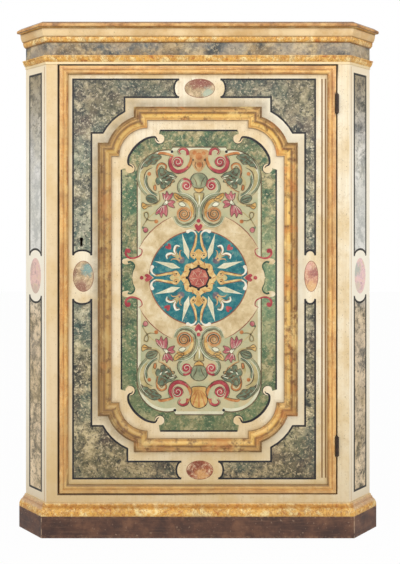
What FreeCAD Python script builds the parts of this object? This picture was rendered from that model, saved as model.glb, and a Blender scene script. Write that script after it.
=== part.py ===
# Painted corner cabinet: a five-sided carcass for the corner of a room, with one wide plank door.
# Millimetres, +Z up, the front looks along -Y, the right angle of the back points along +Y.
# The origin is the middle of the bounding box on the floor.

import FreeCAD
import Part
import Sketcher
import math
import os

V = FreeCAD.Vector
X_AXIS = V(1, 0, 0)
Y_AXIS = V(0, 1, 0)
Z_AXIS = V(0, 0, 1)
ROOT_HALF = math.sqrt(0.5)
MITRE = math.tan(math.radians(22.5))

BACK_PLANKS = 3
DOOR_PLANKS = 4
NAILS_PER_LEAF = 3

SIZES = {
    # plan and height of the carcass
    "total_height": 1809.0,
    "front_width": 1072.0,
    "cant_reach": 93.0,
    "board_thick": 25.0,
    "back_thick": 18.0,
    "top_thick": 18.0,
    "plank_gap": 0.6,
    "post_leg": 50.0,
    # floor board and shelves
    "floor_thick": 25.0,
    "floor_rise": 12.0,
    "shelf_thick": 20.0,
    "shelf_setback": 60.0,
    "lower_shelf_level": 520.0,
    "middle_shelf_level": 900.0,
    "upper_shelf_level": 1280.0,
    "ledge_thick": 22.0,
    "ledge_height": 28.0,
    "ledge_length": 620.0,
    # plinth and the moulding that stands on it
    "plinth_height": 76.0,
    "plinth_proud": 28.0,
    "base_height": 39.0,
    "base_lip": 9.0,
    "base_round": 21.0,
    "base_neck_proud": 12.0,
    "base_neck_level": 27.0,
    "base_top_proud": 5.0,
    "base_cove": 8.0,
    "rail_reveal": 28.0,
    # entablature: architrave, plain frieze and crown
    "architrave_height": 32.0,
    "architrave_proud": 15.0,
    "architrave_fillet": 8.0,
    "architrave_round": 19.0,
    "frieze_height": 44.5,
    "crown_height": 68.5,
    "crown_proud": 38.0,
    "crown_fillet": 21.5,
    "crown_face": 9.0,
    "crown_top_proud": 20.0,
    "crown_cove_proud": 23.0,
    "crown_cove_round": 46.0,
    "crown_bead_height": 19.0,
    "crown_bead_proud": 12.0,
    "crown_bead_round": 15.0,
    "crown_nose": 3.0,
    # door opening and the door's boards
    "stile_width": 42.0,
    "door_gap": 5.5,
    "stop_clearance": 0.5,
    "batten_height": 95.0,
    "batten_thick": 22.0,
    "batten_inset": 62.0,
    "upper_batten_drop": 236.5,
    "lower_batten_rise": 184.5,
    "stop_height": 70.0,
    "stop_lap": 22.0,
    "stop_thick": 18.0,
    "stop_inset": 90.0,
    "groove_width": 5.0,
    "groove_depth": 3.0,
    "groove_from_edge": 37.0,
    "groove_pitch": 12.5,
    "groove_head": 46.0,
    "groove_foot": 54.0,
    # moulding round the edge of the door
    "edge_width": 31.0,
    "edge_fascia": 12.5,
    "edge_fascia_proud": 7.0,
    "edge_quirk": 3.0,
    "edge_base": 4.0,
    "edge_torus": 8.3,
    # shaped moulding in the middle of the door
    "panel_width": 706.0,
    "panel_height": 1220.0,
    "panel_moulding": 48.0,
    "panel_foot": 3.0,
    "panel_crest": 14.0,
    "panel_cove": 7.0,
    "panel_bead": 6.0,
    "panel_quirk": 4.0,
    "panel_inner_proud": 4.5,
    "panel_inner_fillet": 6.0,
    "panel_round": 34.0,
    "corner_step": 127.0,
    "corner_centre": 177.0,
    "corner_radius": 150.0,
    # hinges
    "upper_hinge_drop": 140.0,
    "lower_hinge_rise": 172.0,
    "hinge_length": 66.0,
    "hinge_proud": 7.0,
    "knuckle_radius": 6.4,
    "knuckle_play": 0.5,
    "leaf_thick": 1.5,
    "leaf_depth": 20.0,
    "pin_radius": 2.5,
    "pin_clearance": 0.05,
    "pin_tip": 4.5,
    "pin_tip_radius": 5.5,
    "notch_clearance": 1.6,
    # lock
    "keyhole_from_edge": 77.0,
    "keyhole_level": 1039.0,
    "keyhole_radius": 6.0,
    "keyhole_slot": 7.0,
    "keyhole_drop": 24.0,
    "lock_width": 116.0,
    "lock_height": 96.0,
    "lock_depth": 20.0,
    "lock_wall": 2.5,
    "lock_from_edge": 3.5,
    "bolt_height": 18.0,
    "bolt_thick": 8.0,
    "bolt_length": 96.0,
    "bolt_rise": 22.0,
    "bolt_setback": 3.5,
    "bolt_clearance": 0.3,
    "talon_radius": 8.0,
    "guide_width": 10.0,
    "spring_thick": 1.2,
    "spring_span": 56.0,
    "strike_width": 20.0,
    "strike_height": 70.0,
    "strike_thick": 2.6,
    # wrought nails
    "nail_radius": 2.6,
    "nail_tip": 0.8,
    "nail_length": 40.0,
    "small_nail_radius": 1.8,
    "small_nail_length": 16.0,
}

doc = FreeCAD.newDocument("corner_cabinet")
sheet = doc.addObject("Spreadsheet::Sheet", "Sizes")
for row, (alias, number) in enumerate(SIZES.items(), start=1):
    sheet.set(f"A{row}", alias)
    sheet.set(f"B{row}", str(number))
    sheet.setAlias(f"B{row}", alias)
doc.recompute()


class Dim:
    """A length that knows its value now and the expression on the sheet that it comes from."""

    def __init__(self, value, text):
        self.value = float(value)
        self.text = text

    def __add__(self, other):
        other = dim(other)
        return Dim(self.value + other.value, f"({self.text} + {other.text})")

    def __sub__(self, other):
        other = dim(other)
        return Dim(self.value - other.value, f"({self.text} - {other.text})")

    def __mul__(self, other):
        other = dim(other)
        return Dim(self.value * other.value, f"({self.text} * {other.text})")

    def __truediv__(self, other):
        other = dim(other)
        return Dim(self.value / other.value, f"({self.text} / {other.text})")

    def __radd__(self, other):
        return dim(other) + self

    def __rsub__(self, other):
        return dim(other) - self

    def __rmul__(self, other):
        return dim(other) * self

    def __neg__(self):
        return Dim(-self.value, f"(0 - {self.text})")


def dim(number):
    """number as a Dim; a plain number becomes a constant."""
    if isinstance(number, Dim):
        return number
    return Dim(number, f"({float(number)!r})")


def root(d):
    """Square root of a Dim."""
    return Dim(math.sqrt(d.value), f"sqrt({d.text})")


def size(alias):
    """The Dim of one cell of the sheet."""
    return Dim(SIZES[alias], f"Sizes.{alias}")


def bind(obj, prop, length):
    """Ties a property to the sheet."""
    obj.setExpression(prop, dim(length).text)


def place(obj, at, rotation=FreeCAD.Rotation()):
    """Sets where an object stands; its three coordinates stay tied to the sheet."""
    obj.Placement = FreeCAD.Placement(V(*[dim(c).value for c in at]), rotation)
    for letter, coordinate in zip("xyz", at):
        bind(obj, f"Placement.Base.{letter}", coordinate)


def turned(degrees):
    """Rotation about the vertical."""
    return FreeCAD.Rotation(Z_AXIS, degrees)


def box(name, extent, at, degrees=0.0):
    """A board with square edges."""
    obj = doc.addObject("Part::Box", name)
    for prop, length in zip(("Length", "Width", "Height"), extent):
        bind(obj, prop, length)
    place(obj, at, turned(degrees))
    return obj


def cylinder(name, radius, height, at, rotation=FreeCAD.Rotation()):
    """A round bar."""
    obj = doc.addObject("Part::Cylinder", name)
    bind(obj, "Radius", radius)
    bind(obj, "Height", height)
    place(obj, at, rotation)
    return obj


def cone(name, first_radius, second_radius, height, at, rotation=FreeCAD.Rotation()):
    """A tapered round bar."""
    obj = doc.addObject("Part::Cone", name)
    bind(obj, "Radius1", first_radius)
    bind(obj, "Radius2", second_radius)
    bind(obj, "Height", height)
    place(obj, at, rotation)
    return obj


def arc_geometry(start, end, radius):
    """Arc under a half circle from start to end: counter-clockwise if radius is positive, else clockwise."""
    chord = end - start
    middle = (start + end) * 0.5
    reach = math.sqrt(max(radius * radius - chord.Length ** 2 / 4.0, 0.0))
    left = V(-chord.y, chord.x, 0).normalize()
    centre = middle + left * (reach if radius > 0 else -reach)
    first, last = (start, end) if radius > 0 else (end, start)
    angles = [math.atan2(p.y - centre.y, p.x - centre.x) for p in (first, last)]
    return Part.ArcOfCircle(Part.Circle(centre, Z_AXIS, abs(radius)), *angles)


def draw(sketch, corners):
    """Closed outline through corners (x, y), each tied to the sheet.
    A corner (x, y, radius) is reached by an arc, counter-clockwise for a positive radius."""
    points = [V(dim(c[0]).value, dim(c[1]).value, 0) for c in corners]
    ends = []
    for i, corner in enumerate(corners):
        if len(corner) == 3:
            sketch.addGeometry(arc_geometry(points[i - 1], points[i], dim(corner[2]).value), False)
            ends.append((1, 2) if dim(corner[2]).value > 0 else (2, 1))
        else:
            sketch.addGeometry(Part.LineSegment(points[i - 1], points[i]), False)
            ends.append((1, 2))
    for i in range(len(corners)):
        before = (i - 1) % len(corners)
        joined = (before, ends[before][1], i, ends[i][0])
        sketch.addConstraint(Sketcher.Constraint("Coincident", *joined))
    for i, corner in enumerate(corners):
        for kind, coordinate in zip(("DistanceX", "DistanceY"), corner):
            length = dim(coordinate)
            n = sketch.addConstraint(Sketcher.Constraint(kind, -1, 1, i, ends[i][1], length.value))
            sketch.setExpression(f"Constraints[{n}]", length.text)
        if len(corner) == 3:
            radius = dim(corner[2])
            n = sketch.addConstraint(Sketcher.Constraint("Radius", i, abs(radius.value)))
            sketch.setExpression(f"Constraints[{n}]", radius.text if radius.value > 0 else (-radius).text)


def origin_plane(body, role):
    """One of a body's own origin planes."""
    return next(f for f in body.Origin.OriginFeatures if f.Role == role)


def padded(name, role, corners, depth, at):
    """A body: an outline on one of its origin planes, padded by depth."""
    body = doc.addObject("PartDesign::Body", name)
    sketch = body.newObject("Sketcher::SketchObject", f"{name}_outline")
    sketch.AttachmentSupport = (origin_plane(body, role), [""])
    sketch.MapMode = "FlatFace"
    draw(sketch, corners)
    pad = body.newObject("PartDesign::Pad", f"{name}_pad")
    pad.Profile = sketch
    bind(pad, "Length", depth)
    place(body, at)
    return body


def prism(name, plan, height, level):
    """A board cut to a plan, standing from level up."""
    return padded(name, "XY_Plane", plan, height, (0, 0, level))


def slab(name, outline, depth, back):
    """A plate seen from the front: outline in X and Z, from the plane y = back towards the front."""
    return padded(name, "XZ_Plane", outline, depth, (0, back, 0))


def strip(name, profile, start, across, out, length):
    """A moulding: profile corners (across, out) run for length from start, along across x out."""
    sketch = doc.addObject("Sketcher::SketchObject", f"{name}_profile")
    draw(sketch, profile)
    place(sketch, start, FreeCAD.Rotation(across, out, across.cross(out), "ZXY"))
    run = doc.addObject("Part::Extrusion", name)
    run.Base = sketch
    run.DirMode = "Normal"
    run.Solid = True
    bind(run, "LengthFwd", length)
    return run


def common(name, base, tool):
    """What two objects share."""
    obj = doc.addObject("Part::Common", name)
    obj.Base = base
    obj.Tool = tool
    return obj


def fuse(name, pieces):
    """Pieces forged or carved as one."""
    obj = doc.addObject("Part::MultiFuse", name)
    obj.Shapes = pieces
    return obj


def group(name, pieces):
    """Separate solids that share a node."""
    obj = doc.addObject("Part::Compound", name)
    obj.Links = pieces
    return obj


def cut(name, base, *tools):
    """base without the tools."""
    obj = doc.addObject("Part::Cut", name)
    obj.Base = base
    obj.Tool = tools[0] if len(tools) == 1 else fuse(f"{name}_cutter", list(tools))
    return obj


def mirrored(name, source, normal, at=(0, 0, 0)):
    """source seen in a mirror through the point at."""
    obj = doc.addObject("Part::Mirroring", name)
    obj.Source = source
    obj.Normal = normal
    for letter, coordinate in zip("xyz", at):
        bind(obj, f"Base.{letter}", coordinate)
    return obj


# Points of the plan, right half. The front face ends at front_corner, the canted side at wall_corner,
# and the two backs meet at the rear corner, on the middle line.
thick = size("board_thick")
half_front = size("front_width") / 2
half_width = half_front + size("cant_reach")
total_depth = size("crown_proud") + size("cant_reach") + half_width
front = size("crown_proud") - total_depth / 2
front_corner = (half_front, front)
wall_corner = (half_width, front + size("cant_reach"))
rear = total_depth / 2
inner_front = (half_front - thick * MITRE, front + thick)
wall_inner = (half_width - thick * ROOT_HALF, wall_corner[1] + thick * ROOT_HALF)
back_step = size("back_thick") * ROOT_HALF
inside_wall = (wall_inner[0] - back_step, wall_inner[1] - back_step)
inside_rear = rear - 2 * back_step
post_reach = size("post_leg") * ROOT_HALF
wall_run = wall_inner[0] / ROOT_HALF

# Levels of the front
base_top = size("plinth_height") + size("base_height")
opening_bottom = base_top + size("rail_reveal")
crown_bottom = size("total_height") - size("crown_height")
opening_top = crown_bottom - size("frieze_height") - size("architrave_height")
carcass_height = size("total_height") - size("top_thick")
half_opening = half_front - size("stile_width")
floor_top = opening_bottom + size("floor_rise")

# The door inside its opening
door_half = half_opening - size("door_gap")
door_bottom = opening_bottom + size("door_gap")
door_top = opening_top - size("door_gap")
door_middle = (door_bottom + door_top) / 2
door_thick = thick - size("stop_clearance")
door_back = front + door_thick
batten_levels = {
    "upper": door_top - size("upper_batten_drop") - size("batten_height"),
    "lower": door_bottom + size("lower_batten_rise"),
}

CANT_OUT = V(-ROOT_HALF, -ROOT_HALF, 0)
FRONT_OUT = V(0, -1, 0)
nodes = {}


def left_of(plan):
    """A plan of the right half, seen on the left, still counter-clockwise."""
    return [(-dim(x), y) for x, y in reversed(plan)]


def carcass_boards():
    """Face frame, canted sides, plank backs, rear post and top board."""
    stile_plan = [(half_opening, front), front_corner, inner_front, (half_opening, front + thick)]
    cant_plan = [front_corner, wall_corner, wall_inner, inner_front]
    nodes["left_stile"] = prism("left_stile", left_of(stile_plan), carcass_height, 0)
    blank = prism("right_stile_blank", stile_plan, carcass_height, 0)
    nodes["right_stile"] = cut("right_stile", blank, *leaf_mortises("stile", half_opening))
    nodes["left_cant_board"] = prism("left_cant_board", left_of(cant_plan), carcass_height, 0)
    nodes["right_cant_board"] = prism("right_cant_board", cant_plan, carcass_height, 0)
    rail = (2 * half_opening, thick)
    nodes["bottom_rail"] = box("bottom_rail", (*rail, opening_bottom), (-half_opening, front, 0))
    top_rail_height = carcass_height - opening_top
    nodes["top_rail"] = box("top_rail", (*rail, top_rail_height), (-half_opening, front, opening_top))
    back_planks()
    post_face = inside_rear - post_reach
    post_plan = [(0, inside_rear), (-post_reach, post_face), (post_reach, post_face)]
    nodes["rear_post"] = prism("rear_post", post_plan, carcass_height, 0)
    top_plan = [(-half_front, front), front_corner, wall_corner, (0, rear), (-half_width, wall_corner[1])]
    nodes["top_board"] = prism("top_board", top_plan, size("top_thick"), carcass_height)


def back_planks():
    """Three upright planks on each wall; the left back laps the right one at the rear corner."""
    runs = {"right": wall_run - size("back_thick"), "left": wall_run}
    for side, run in runs.items():
        width = (run - (BACK_PLANKS - 1) * size("plank_gap")) / BACK_PLANKS
        for i in range(BACK_PLANKS):
            along = i * (width + size("plank_gap")) * ROOT_HALF
            name = f"{side}_back_plank_{i + 1}"
            if side == "right":
                at = (wall_inner[0] - along, wall_inner[1] + along, 0)
                degrees = 135
            else:
                at = (-along, rear - along, 0)
                degrees = 225
            nodes[name] = box(name, (width, size("back_thick"), carcass_height), at, degrees)


def inside_plan(setback):
    """Plan of a board that fills the inside, from setback behind the front to the rear post."""
    x = inner_front[0] + (setback - thick)
    edge = inside_rear - post_reach
    right = [(x, front + setback), inside_wall, (post_reach, edge)]
    return right + left_of(right)


def floor_and_shelves():
    """Floor board, three shelves and the ledges that carry the shelves."""
    floor_level = floor_top - size("floor_thick")
    nodes["floor_board"] = prism("floor_board", inside_plan(thick), size("floor_thick"), floor_level)
    ledges = []
    for which in ("lower", "middle", "upper"):
        under = size(f"{which}_shelf_level") - size("shelf_thick")
        name = f"{which}_shelf"
        nodes[name] = prism(name, inside_plan(size("shelf_setback")), size("shelf_thick"), under)
        extent = (size("ledge_length"), size("ledge_thick"), size("ledge_height"))
        ledge_level = under - size("ledge_height")
        right = box(f"{which}_right_ledge", extent, (*inside_wall, ledge_level), 135)
        ledges += [right, mirrored(f"{which}_left_ledge", right, X_AXIS)]
    nodes["shelf_ledges"] = group("shelf_ledges", ledges)


def plinth():
    """Three dark boards, mitred at the canted corners, standing on the floor."""
    proud = size("plinth_proud")
    mitre_point = (half_front + proud * MITRE, front - proud)
    end_point = (half_width + proud * ROOT_HALF, wall_corner[1] - proud * ROOT_HALF)
    front_plan = [(-mitre_point[0], mitre_point[1]), mitre_point, front_corner, (-half_front, front)]
    side_plan = [mitre_point, end_point, wall_corner, front_corner]
    nodes["plinth_front"] = prism("plinth_front", front_plan, size("plinth_height"), 0)
    nodes["plinth_right"] = prism("plinth_right", side_plan, size("plinth_height"), 0)
    nodes["plinth_left"] = prism("plinth_left", left_of(side_plan), size("plinth_height"), 0)


def base_profile():
    """Lip, quarter round, neck and cove, from the plinth up."""
    return [
        (0, 0),
        (size("plinth_proud"), 0),
        (size("plinth_proud"), size("base_lip")),
        (size("base_neck_proud"), size("base_neck_level"), size("base_round")),
        (size("base_neck_proud"), size("base_height") - size("base_cove")),
        (size("base_top_proud"), size("base_height"), -size("base_cove")),
        (0, size("base_height")),
    ]


def architrave_profile():
    """Flat band over the door, then a round that swells out to a lip under the frieze."""
    fillet = size("architrave_fillet")
    lip = size("architrave_height") - fillet
    return [
        (0, 0),
        (fillet / 3, 0),
        (fillet / 3, fillet),
        (size("architrave_proud") - fillet / 3, lip, size("architrave_round")),
        (size("architrave_proud"), lip),
        (size("architrave_proud"), lip + fillet / 2),
        (fillet / 2, size("architrave_height")),
        (0, size("architrave_height")),
    ]


def crown_profile():
    """Bead, swelling cove and a fillet under a sloping top."""
    nose = size("crown_nose")
    proud = size("crown_proud")
    under_fillet = size("crown_height") - size("crown_fillet")
    return [
        (0, 0),
        (nose, 0),
        (size("crown_bead_proud"), size("crown_bead_height") - nose, size("crown_bead_round")),
        (size("crown_bead_proud"), size("crown_bead_height")),
        (size("crown_bead_proud") + nose, size("crown_bead_height")),
        (size("crown_cove_proud"), under_fillet, size("crown_cove_round")),
        (proud - nose, under_fillet),
        (proud, under_fillet + nose, nose * 1.2),
        (proud, under_fillet + size("crown_face")),
        (size("crown_top_proud"), size("crown_height")),
        (0, size("crown_height")),
    ]


def front_mouldings():
    """Each moulding of the front runs over three faces and is mitred at the two canted corners."""
    reach = 2 * size("crown_proud")
    outer = (half_front + reach * MITRE, front - reach)
    inner = (half_front - reach * MITRE, front + reach)
    front_wedge = prism(
        "front_wedge", [(-outer[0], outer[1]), outer, inner, (-inner[0], inner[1])], size("total_height"), 0
    )
    far = (half_width + reach, wall_corner[1] - reach)
    beyond = (half_width + reach, wall_corner[1] + reach)
    side_wedge = prism("side_wedge", left_of([outer, far, beyond, inner]), size("total_height"), 0)
    shapes = {
        "base_moulding": (base_profile(), size("plinth_height")),
        "architrave": (architrave_profile(), opening_top),
        "crown": (crown_profile(), crown_bottom),
    }
    for name, (profile, level) in shapes.items():
        start = (half_front + reach, front, level)
        run = strip(f"{name}_front_run", profile, start, FRONT_OUT, Z_AXIS, size("front_width") + 2 * reach)
        nodes[f"{name}_front"] = common(f"{name}_front", run, front_wedge)
        start = (-half_front + reach * ROOT_HALF, front - reach * ROOT_HALF, level)
        length = size("cant_reach") / ROOT_HALF + reach
        run = strip(f"{name}_left_run", profile, start, CANT_OUT, Z_AXIS, length)
        nodes[f"{name}_left"] = common(f"{name}_left", run, side_wedge)
        nodes[f"{name}_right"] = mirrored(f"{name}_right", nodes[f"{name}_left"], X_AXIS)


def hinge_levels():
    """Level of the foot of each hinge."""
    half = size("hinge_length") / 2
    upper = opening_top - size("upper_hinge_drop") - half
    lower = opening_bottom + size("lower_hinge_rise") - half
    return {"upper": upper, "lower": lower}


def leaf_mortises(owner, left_side):
    """Shallow recesses for the hinge leaves in the edge of the stile or of the door."""
    recesses = []
    for which, level in hinge_levels().items():
        extent = (size("leaf_thick"), size("leaf_depth"), size("hinge_length"))
        recesses.append(box(f"{owner}_{which}_mortise", extent, (left_side, front, level)))
    return recesses


def hinge_leaf(name, level, plate_x, knuckles):
    """A plate with knuckles rolled at the given thirds of its length, bored for the pin."""
    axis = (half_opening - size("door_gap") / 2, front - size("hinge_proud"))
    third = size("hinge_length") / 3
    play = size("knuckle_play") / 2
    plate_extent = (size("leaf_thick"), size("leaf_depth"), size("hinge_length"))
    pieces = [box(f"{name}_plate", plate_extent, (plate_x, front, level))]
    for i in knuckles:
        foot = level + i * third + (play if i > 0 else 0)
        height = third - (play if i in (0, 2) else 2 * play)
        tab_extent = (size("leaf_thick"), size("hinge_proud"), height)
        pieces.append(box(f"{name}_tab_{i}", tab_extent, (plate_x, axis[1], foot)))
        pieces.append(cylinder(f"{name}_knuckle_{i}", size("knuckle_radius"), height, (*axis, foot)))
    bore_radius = size("pin_radius") + size("pin_clearance")
    bore = cylinder(f"{name}_bore", bore_radius, size("hinge_length"), (*axis, level))
    return cut(name, fuse(f"{name}_forging", pieces), bore)


def hinge_pin(name, level):
    """A pin with a turned tip at each end."""
    axis = (half_opening - size("door_gap") / 2, front - size("hinge_proud"))
    length = size("hinge_length")
    tip = (size("pin_tip_radius"), size("pin_radius") / 2, size("pin_tip"))
    shank = cylinder(f"{name}_shank", size("pin_radius"), length, (*axis, level))
    upper_tip = cone(f"{name}_upper_tip", *tip, (*axis, level + length))
    lower_tip = cone(f"{name}_lower_tip", *tip, (*axis, level), FreeCAD.Rotation(X_AXIS, 180))
    return fuse(name, [shank, upper_tip, lower_tip])


def hinges():
    """Two iron hinges on the right edge of the door."""
    frame_leaves = []
    door_leaves = []
    pins = []
    for which, level in hinge_levels().items():
        frame_leaves.append(hinge_leaf(f"{which}_frame_leaf", level, half_opening, (0, 2)))
        door_leaves.append(hinge_leaf(f"{which}_door_leaf", level, door_half - size("leaf_thick"), (1,)))
        pins.append(hinge_pin(f"{which}_hinge_pin", level))
    nodes["hinge_frame_leaves"] = group("hinge_frame_leaves", frame_leaves)
    nodes["hinge_door_leaves"] = group("hinge_door_leaves", door_leaves)
    nodes["hinge_pins"] = group("hinge_pins", pins)


def keyhole():
    """Round eye over a slot, right through the first plank."""
    x = -door_half + size("keyhole_from_edge")
    along = FreeCAD.Rotation(X_AXIS, -90)
    eye_level = size("keyhole_level") + size("keyhole_radius")
    eye = cylinder("keyhole_eye", size("keyhole_radius"), thick, (x, front, eye_level), along)
    slot_extent = (size("keyhole_slot"), thick, size("keyhole_drop"))
    slot_level = eye_level - size("keyhole_drop")
    slot = box("keyhole_slot", slot_extent, (x - size("keyhole_slot") / 2, front, slot_level))
    return eye, slot


def plough_grooves():
    """Two stopped grooves beside the hinged edge."""
    grooves = []
    foot = door_bottom + size("groove_foot")
    length = door_top - size("groove_head") - foot
    for i in range(2):
        x = door_half - size("groove_from_edge") - i * size("groove_pitch") - size("groove_width") / 2
        extent = (size("groove_width"), size("groove_depth"), length)
        grooves.append(box(f"plough_groove_{i + 1}", extent, (x, front, foot)))
    return grooves


def door_boards():
    """Upright planks held together by two battens on the inside."""
    width = 2 * door_half / DOOR_PLANKS
    extent = (width, door_thick, door_top - door_bottom)
    planks = []
    for i in range(DOOR_PLANKS):
        planks.append(box(f"door_board_{i + 1}", extent, (-door_half + i * width, front, door_bottom)))
    hinge_edge = leaf_mortises("door", door_half - size("leaf_thick"))
    cutters = {0: keyhole(), DOOR_PLANKS - 1: plough_grooves() + hinge_edge}
    for i, plank in enumerate(planks):
        name = f"door_plank_{i + 1}"
        nodes[name] = cut(name, plank, *cutters[i]) if i in cutters else plank
    batten_length = 2 * (door_half - size("batten_inset"))
    for which, level in batten_levels.items():
        name = f"{which}_door_batten"
        at = (size("batten_inset") - door_half, door_back, level)
        nodes[name] = box(name, (batten_length, size("batten_thick"), size("batten_height")), at)


def edge_profile():
    """Flat fascia at the door's edge, quirk and torus."""
    torus_foot = size("edge_fascia") + size("edge_quirk")
    return [
        (0, 0),
        (size("edge_width"), 0),
        (size("edge_width"), size("edge_base")),
        (torus_foot, size("edge_base"), size("edge_torus") * 1.04),
        (size("edge_fascia"), size("edge_base")),
        (size("edge_fascia"), size("edge_fascia_proud")),
        (0, size("edge_fascia_proud") - size("door_gap") / 2),
    ]


def edge_mouldings():
    """Four mitred strips round the edge of the door; the right one is notched for the hinges."""
    width = size("edge_width")
    reach = 2 * width
    down = V(0, 0, -1)
    start = (door_half, front, door_top)
    top_run = strip("top_edge_run", edge_profile(), start, down, FRONT_OUT, 2 * door_half)
    top_region = [
        (-door_half, door_top),
        (-door_half + reach, door_top - reach),
        (door_half - reach, door_top - reach),
        (door_half, door_top),
    ]
    top = common("door_edge_top", top_run, slab("top_edge_region", top_region, width, front))
    start = (-door_half, front, door_top)
    left_run = strip("left_edge_run", edge_profile(), start, X_AXIS, FRONT_OUT, door_top - door_bottom)
    left_region = [
        (-door_half, door_top),
        (-door_half, door_bottom),
        (-door_half + reach, door_bottom + reach),
        (-door_half + reach, door_top - reach),
    ]
    left = common("door_edge_left", left_run, slab("left_edge_region", left_region, width, front))
    nodes["door_edge_top"] = top
    nodes["door_edge_bottom"] = mirrored("door_edge_bottom", top, Z_AXIS, (0, 0, door_middle))
    nodes["door_edge_left"] = left
    play = size("notch_clearance")
    notches = []
    for which, level in hinge_levels().items():
        reach_in = size("knuckle_radius") - size("door_gap") / 2 + play
        height = size("hinge_length") + 2 * (size("pin_tip") + play)
        at = (door_half - reach_in, front - reach, level - size("pin_tip") - play)
        notches.append(box(f"{which}_hinge_notch", (2 * reach_in, reach, height), at))
    nodes["door_edge_right"] = cut("door_edge_right", mirrored("right_edge_blank", left, X_AXIS), *notches)


def panel_profile():
    """From the outer edge: cove, bead, quirk and a wide round that falls to the inner fillet."""
    crest = size("panel_crest")
    cove = size("panel_cove")
    bead_end = cove + size("panel_bead")
    round_start = bead_end + size("panel_quirk")
    width = size("panel_moulding")
    inner = width - size("panel_inner_fillet")
    return [
        (0, 0),
        (width, 0),
        (width, size("panel_inner_proud")),
        (inner, size("panel_inner_proud")),
        (round_start, crest, size("panel_round")),
        (bead_end, crest - size("panel_quirk") / 2),
        (bead_end, crest),
        (cove, crest, size("panel_bead") * 0.6),
        (0, size("panel_foot"), -size("panel_crest")),
    ]


def panel_mouldings():
    """Shaped frame: straight runs, and at each corner an arc between two short returns."""
    width = size("panel_moulding")
    step = size("corner_step")
    centre = size("corner_centre")
    radius = size("corner_radius")
    left = -size("panel_width") / 2
    top = door_middle + size("panel_height") / 2
    bottom = door_middle - size("panel_height") / 2
    outer_meet = centre - root(radius * radius - (centre - step) * (centre - step))
    inner_radius = radius - width
    inner_offset = centre - step - width
    inner_meet = centre - root(inner_radius * inner_radius - inner_offset * inner_offset)
    down = V(0, 0, -1)

    def at(across, fall):
        """A point given from the frame's outer top left corner."""
        return (left + across, top - fall)

    run = strip("panel_top_run", panel_profile(), (-left, front, top), down, FRONT_OUT, size("panel_width"))
    far = size("panel_width")
    region = [at(step, 0), at(step + width, width), at(far - step - width, width), at(far - step, 0)]
    top_region = slab("panel_top_region", region, width, front)
    nodes["panel_moulding_top"] = common("panel_moulding_top", run, top_region)
    tall = size("panel_height")
    run = strip("panel_left_run", panel_profile(), (left, front, top), X_AXIS, FRONT_OUT, tall)
    region = [at(0, step), at(0, tall - step), at(width, tall - step - width), at(width, step + width)]
    left_region = slab("panel_left_region", region, width, front)
    nodes["panel_moulding_left"] = common("panel_moulding_left", run, left_region)
    middle = (0, 0, door_middle)
    upper = nodes["panel_moulding_top"]
    nodes["panel_moulding_bottom"] = mirrored("panel_moulding_bottom", upper, Z_AXIS, middle)
    nodes["panel_moulding_right"] = mirrored("panel_moulding_right", nodes["panel_moulding_left"], X_AXIS)

    ring_sketch = doc.addObject("Sketcher::SketchObject", "corner_profile")
    draw(ring_sketch, [(corner[0] - radius, *corner[1:]) for corner in panel_profile()])
    arc_x, arc_z = at(centre, centre)
    place(ring_sketch, (arc_x, front, arc_z), FreeCAD.Rotation(X_AXIS, FRONT_OUT, -Z_AXIS, "ZXY"))
    ring = doc.addObject("Part::Revolution", "corner_ring")
    ring.Source = ring_sketch
    ring.Axis = Y_AXIS
    ring.Angle = 360
    ring.Solid = True
    for letter, coordinate in zip("xyz", (arc_x, front, arc_z)):
        bind(ring, f"Base.{letter}", coordinate)
    tip = outer_meet / 2
    region = [
        at(step, outer_meet),
        at(tip, tip),
        at(outer_meet, step),
        at(inner_meet, step + width),
        at(step + width, step + width),
        at(step + width, inner_meet),
    ]
    arc = common("corner_arc", ring, slab("corner_arc_region", region, width, front))
    start = (left + step, front, top)
    upper_run = strip("upper_return_run", panel_profile(), start, X_AXIS, FRONT_OUT, step + width)
    region = [at(step, 0), at(step, outer_meet), at(step + width, inner_meet), at(step + width, width)]
    upper = common("upper_return", upper_run, slab("upper_return_region", region, width, front))
    start = (left + step + width, front, top - step)
    side_run = strip("side_return_run", panel_profile(), start, down, FRONT_OUT, step + width)
    region = [at(0, step), at(width, step + width), at(inner_meet, step + width), at(outer_meet, step)]
    side = common("side_return", side_run, slab("side_return_region", region, width, front))
    corner = group("panel_corner_top_left", [upper, arc, side])
    nodes["panel_corner_top_left"] = corner
    nodes["panel_corner_top_right"] = mirrored("panel_corner_top_right", corner, X_AXIS)
    nodes["panel_corner_bottom_left"] = mirrored("panel_corner_bottom_left", corner, Z_AXIS, middle)
    nodes["panel_corner_bottom_right"] = mirrored(
        "panel_corner_bottom_right", nodes["panel_corner_bottom_left"], X_AXIS
    )


def door_stop():
    """A lath behind the top rail that the closed door rests against."""
    length = 2 * (half_opening - size("stop_inset"))
    at = (size("stop_inset") - half_opening, front + thick, opening_top - size("stop_lap"))
    nodes["door_stop"] = box("door_stop", (length, size("stop_thick"), size("stop_height")), at)


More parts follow.
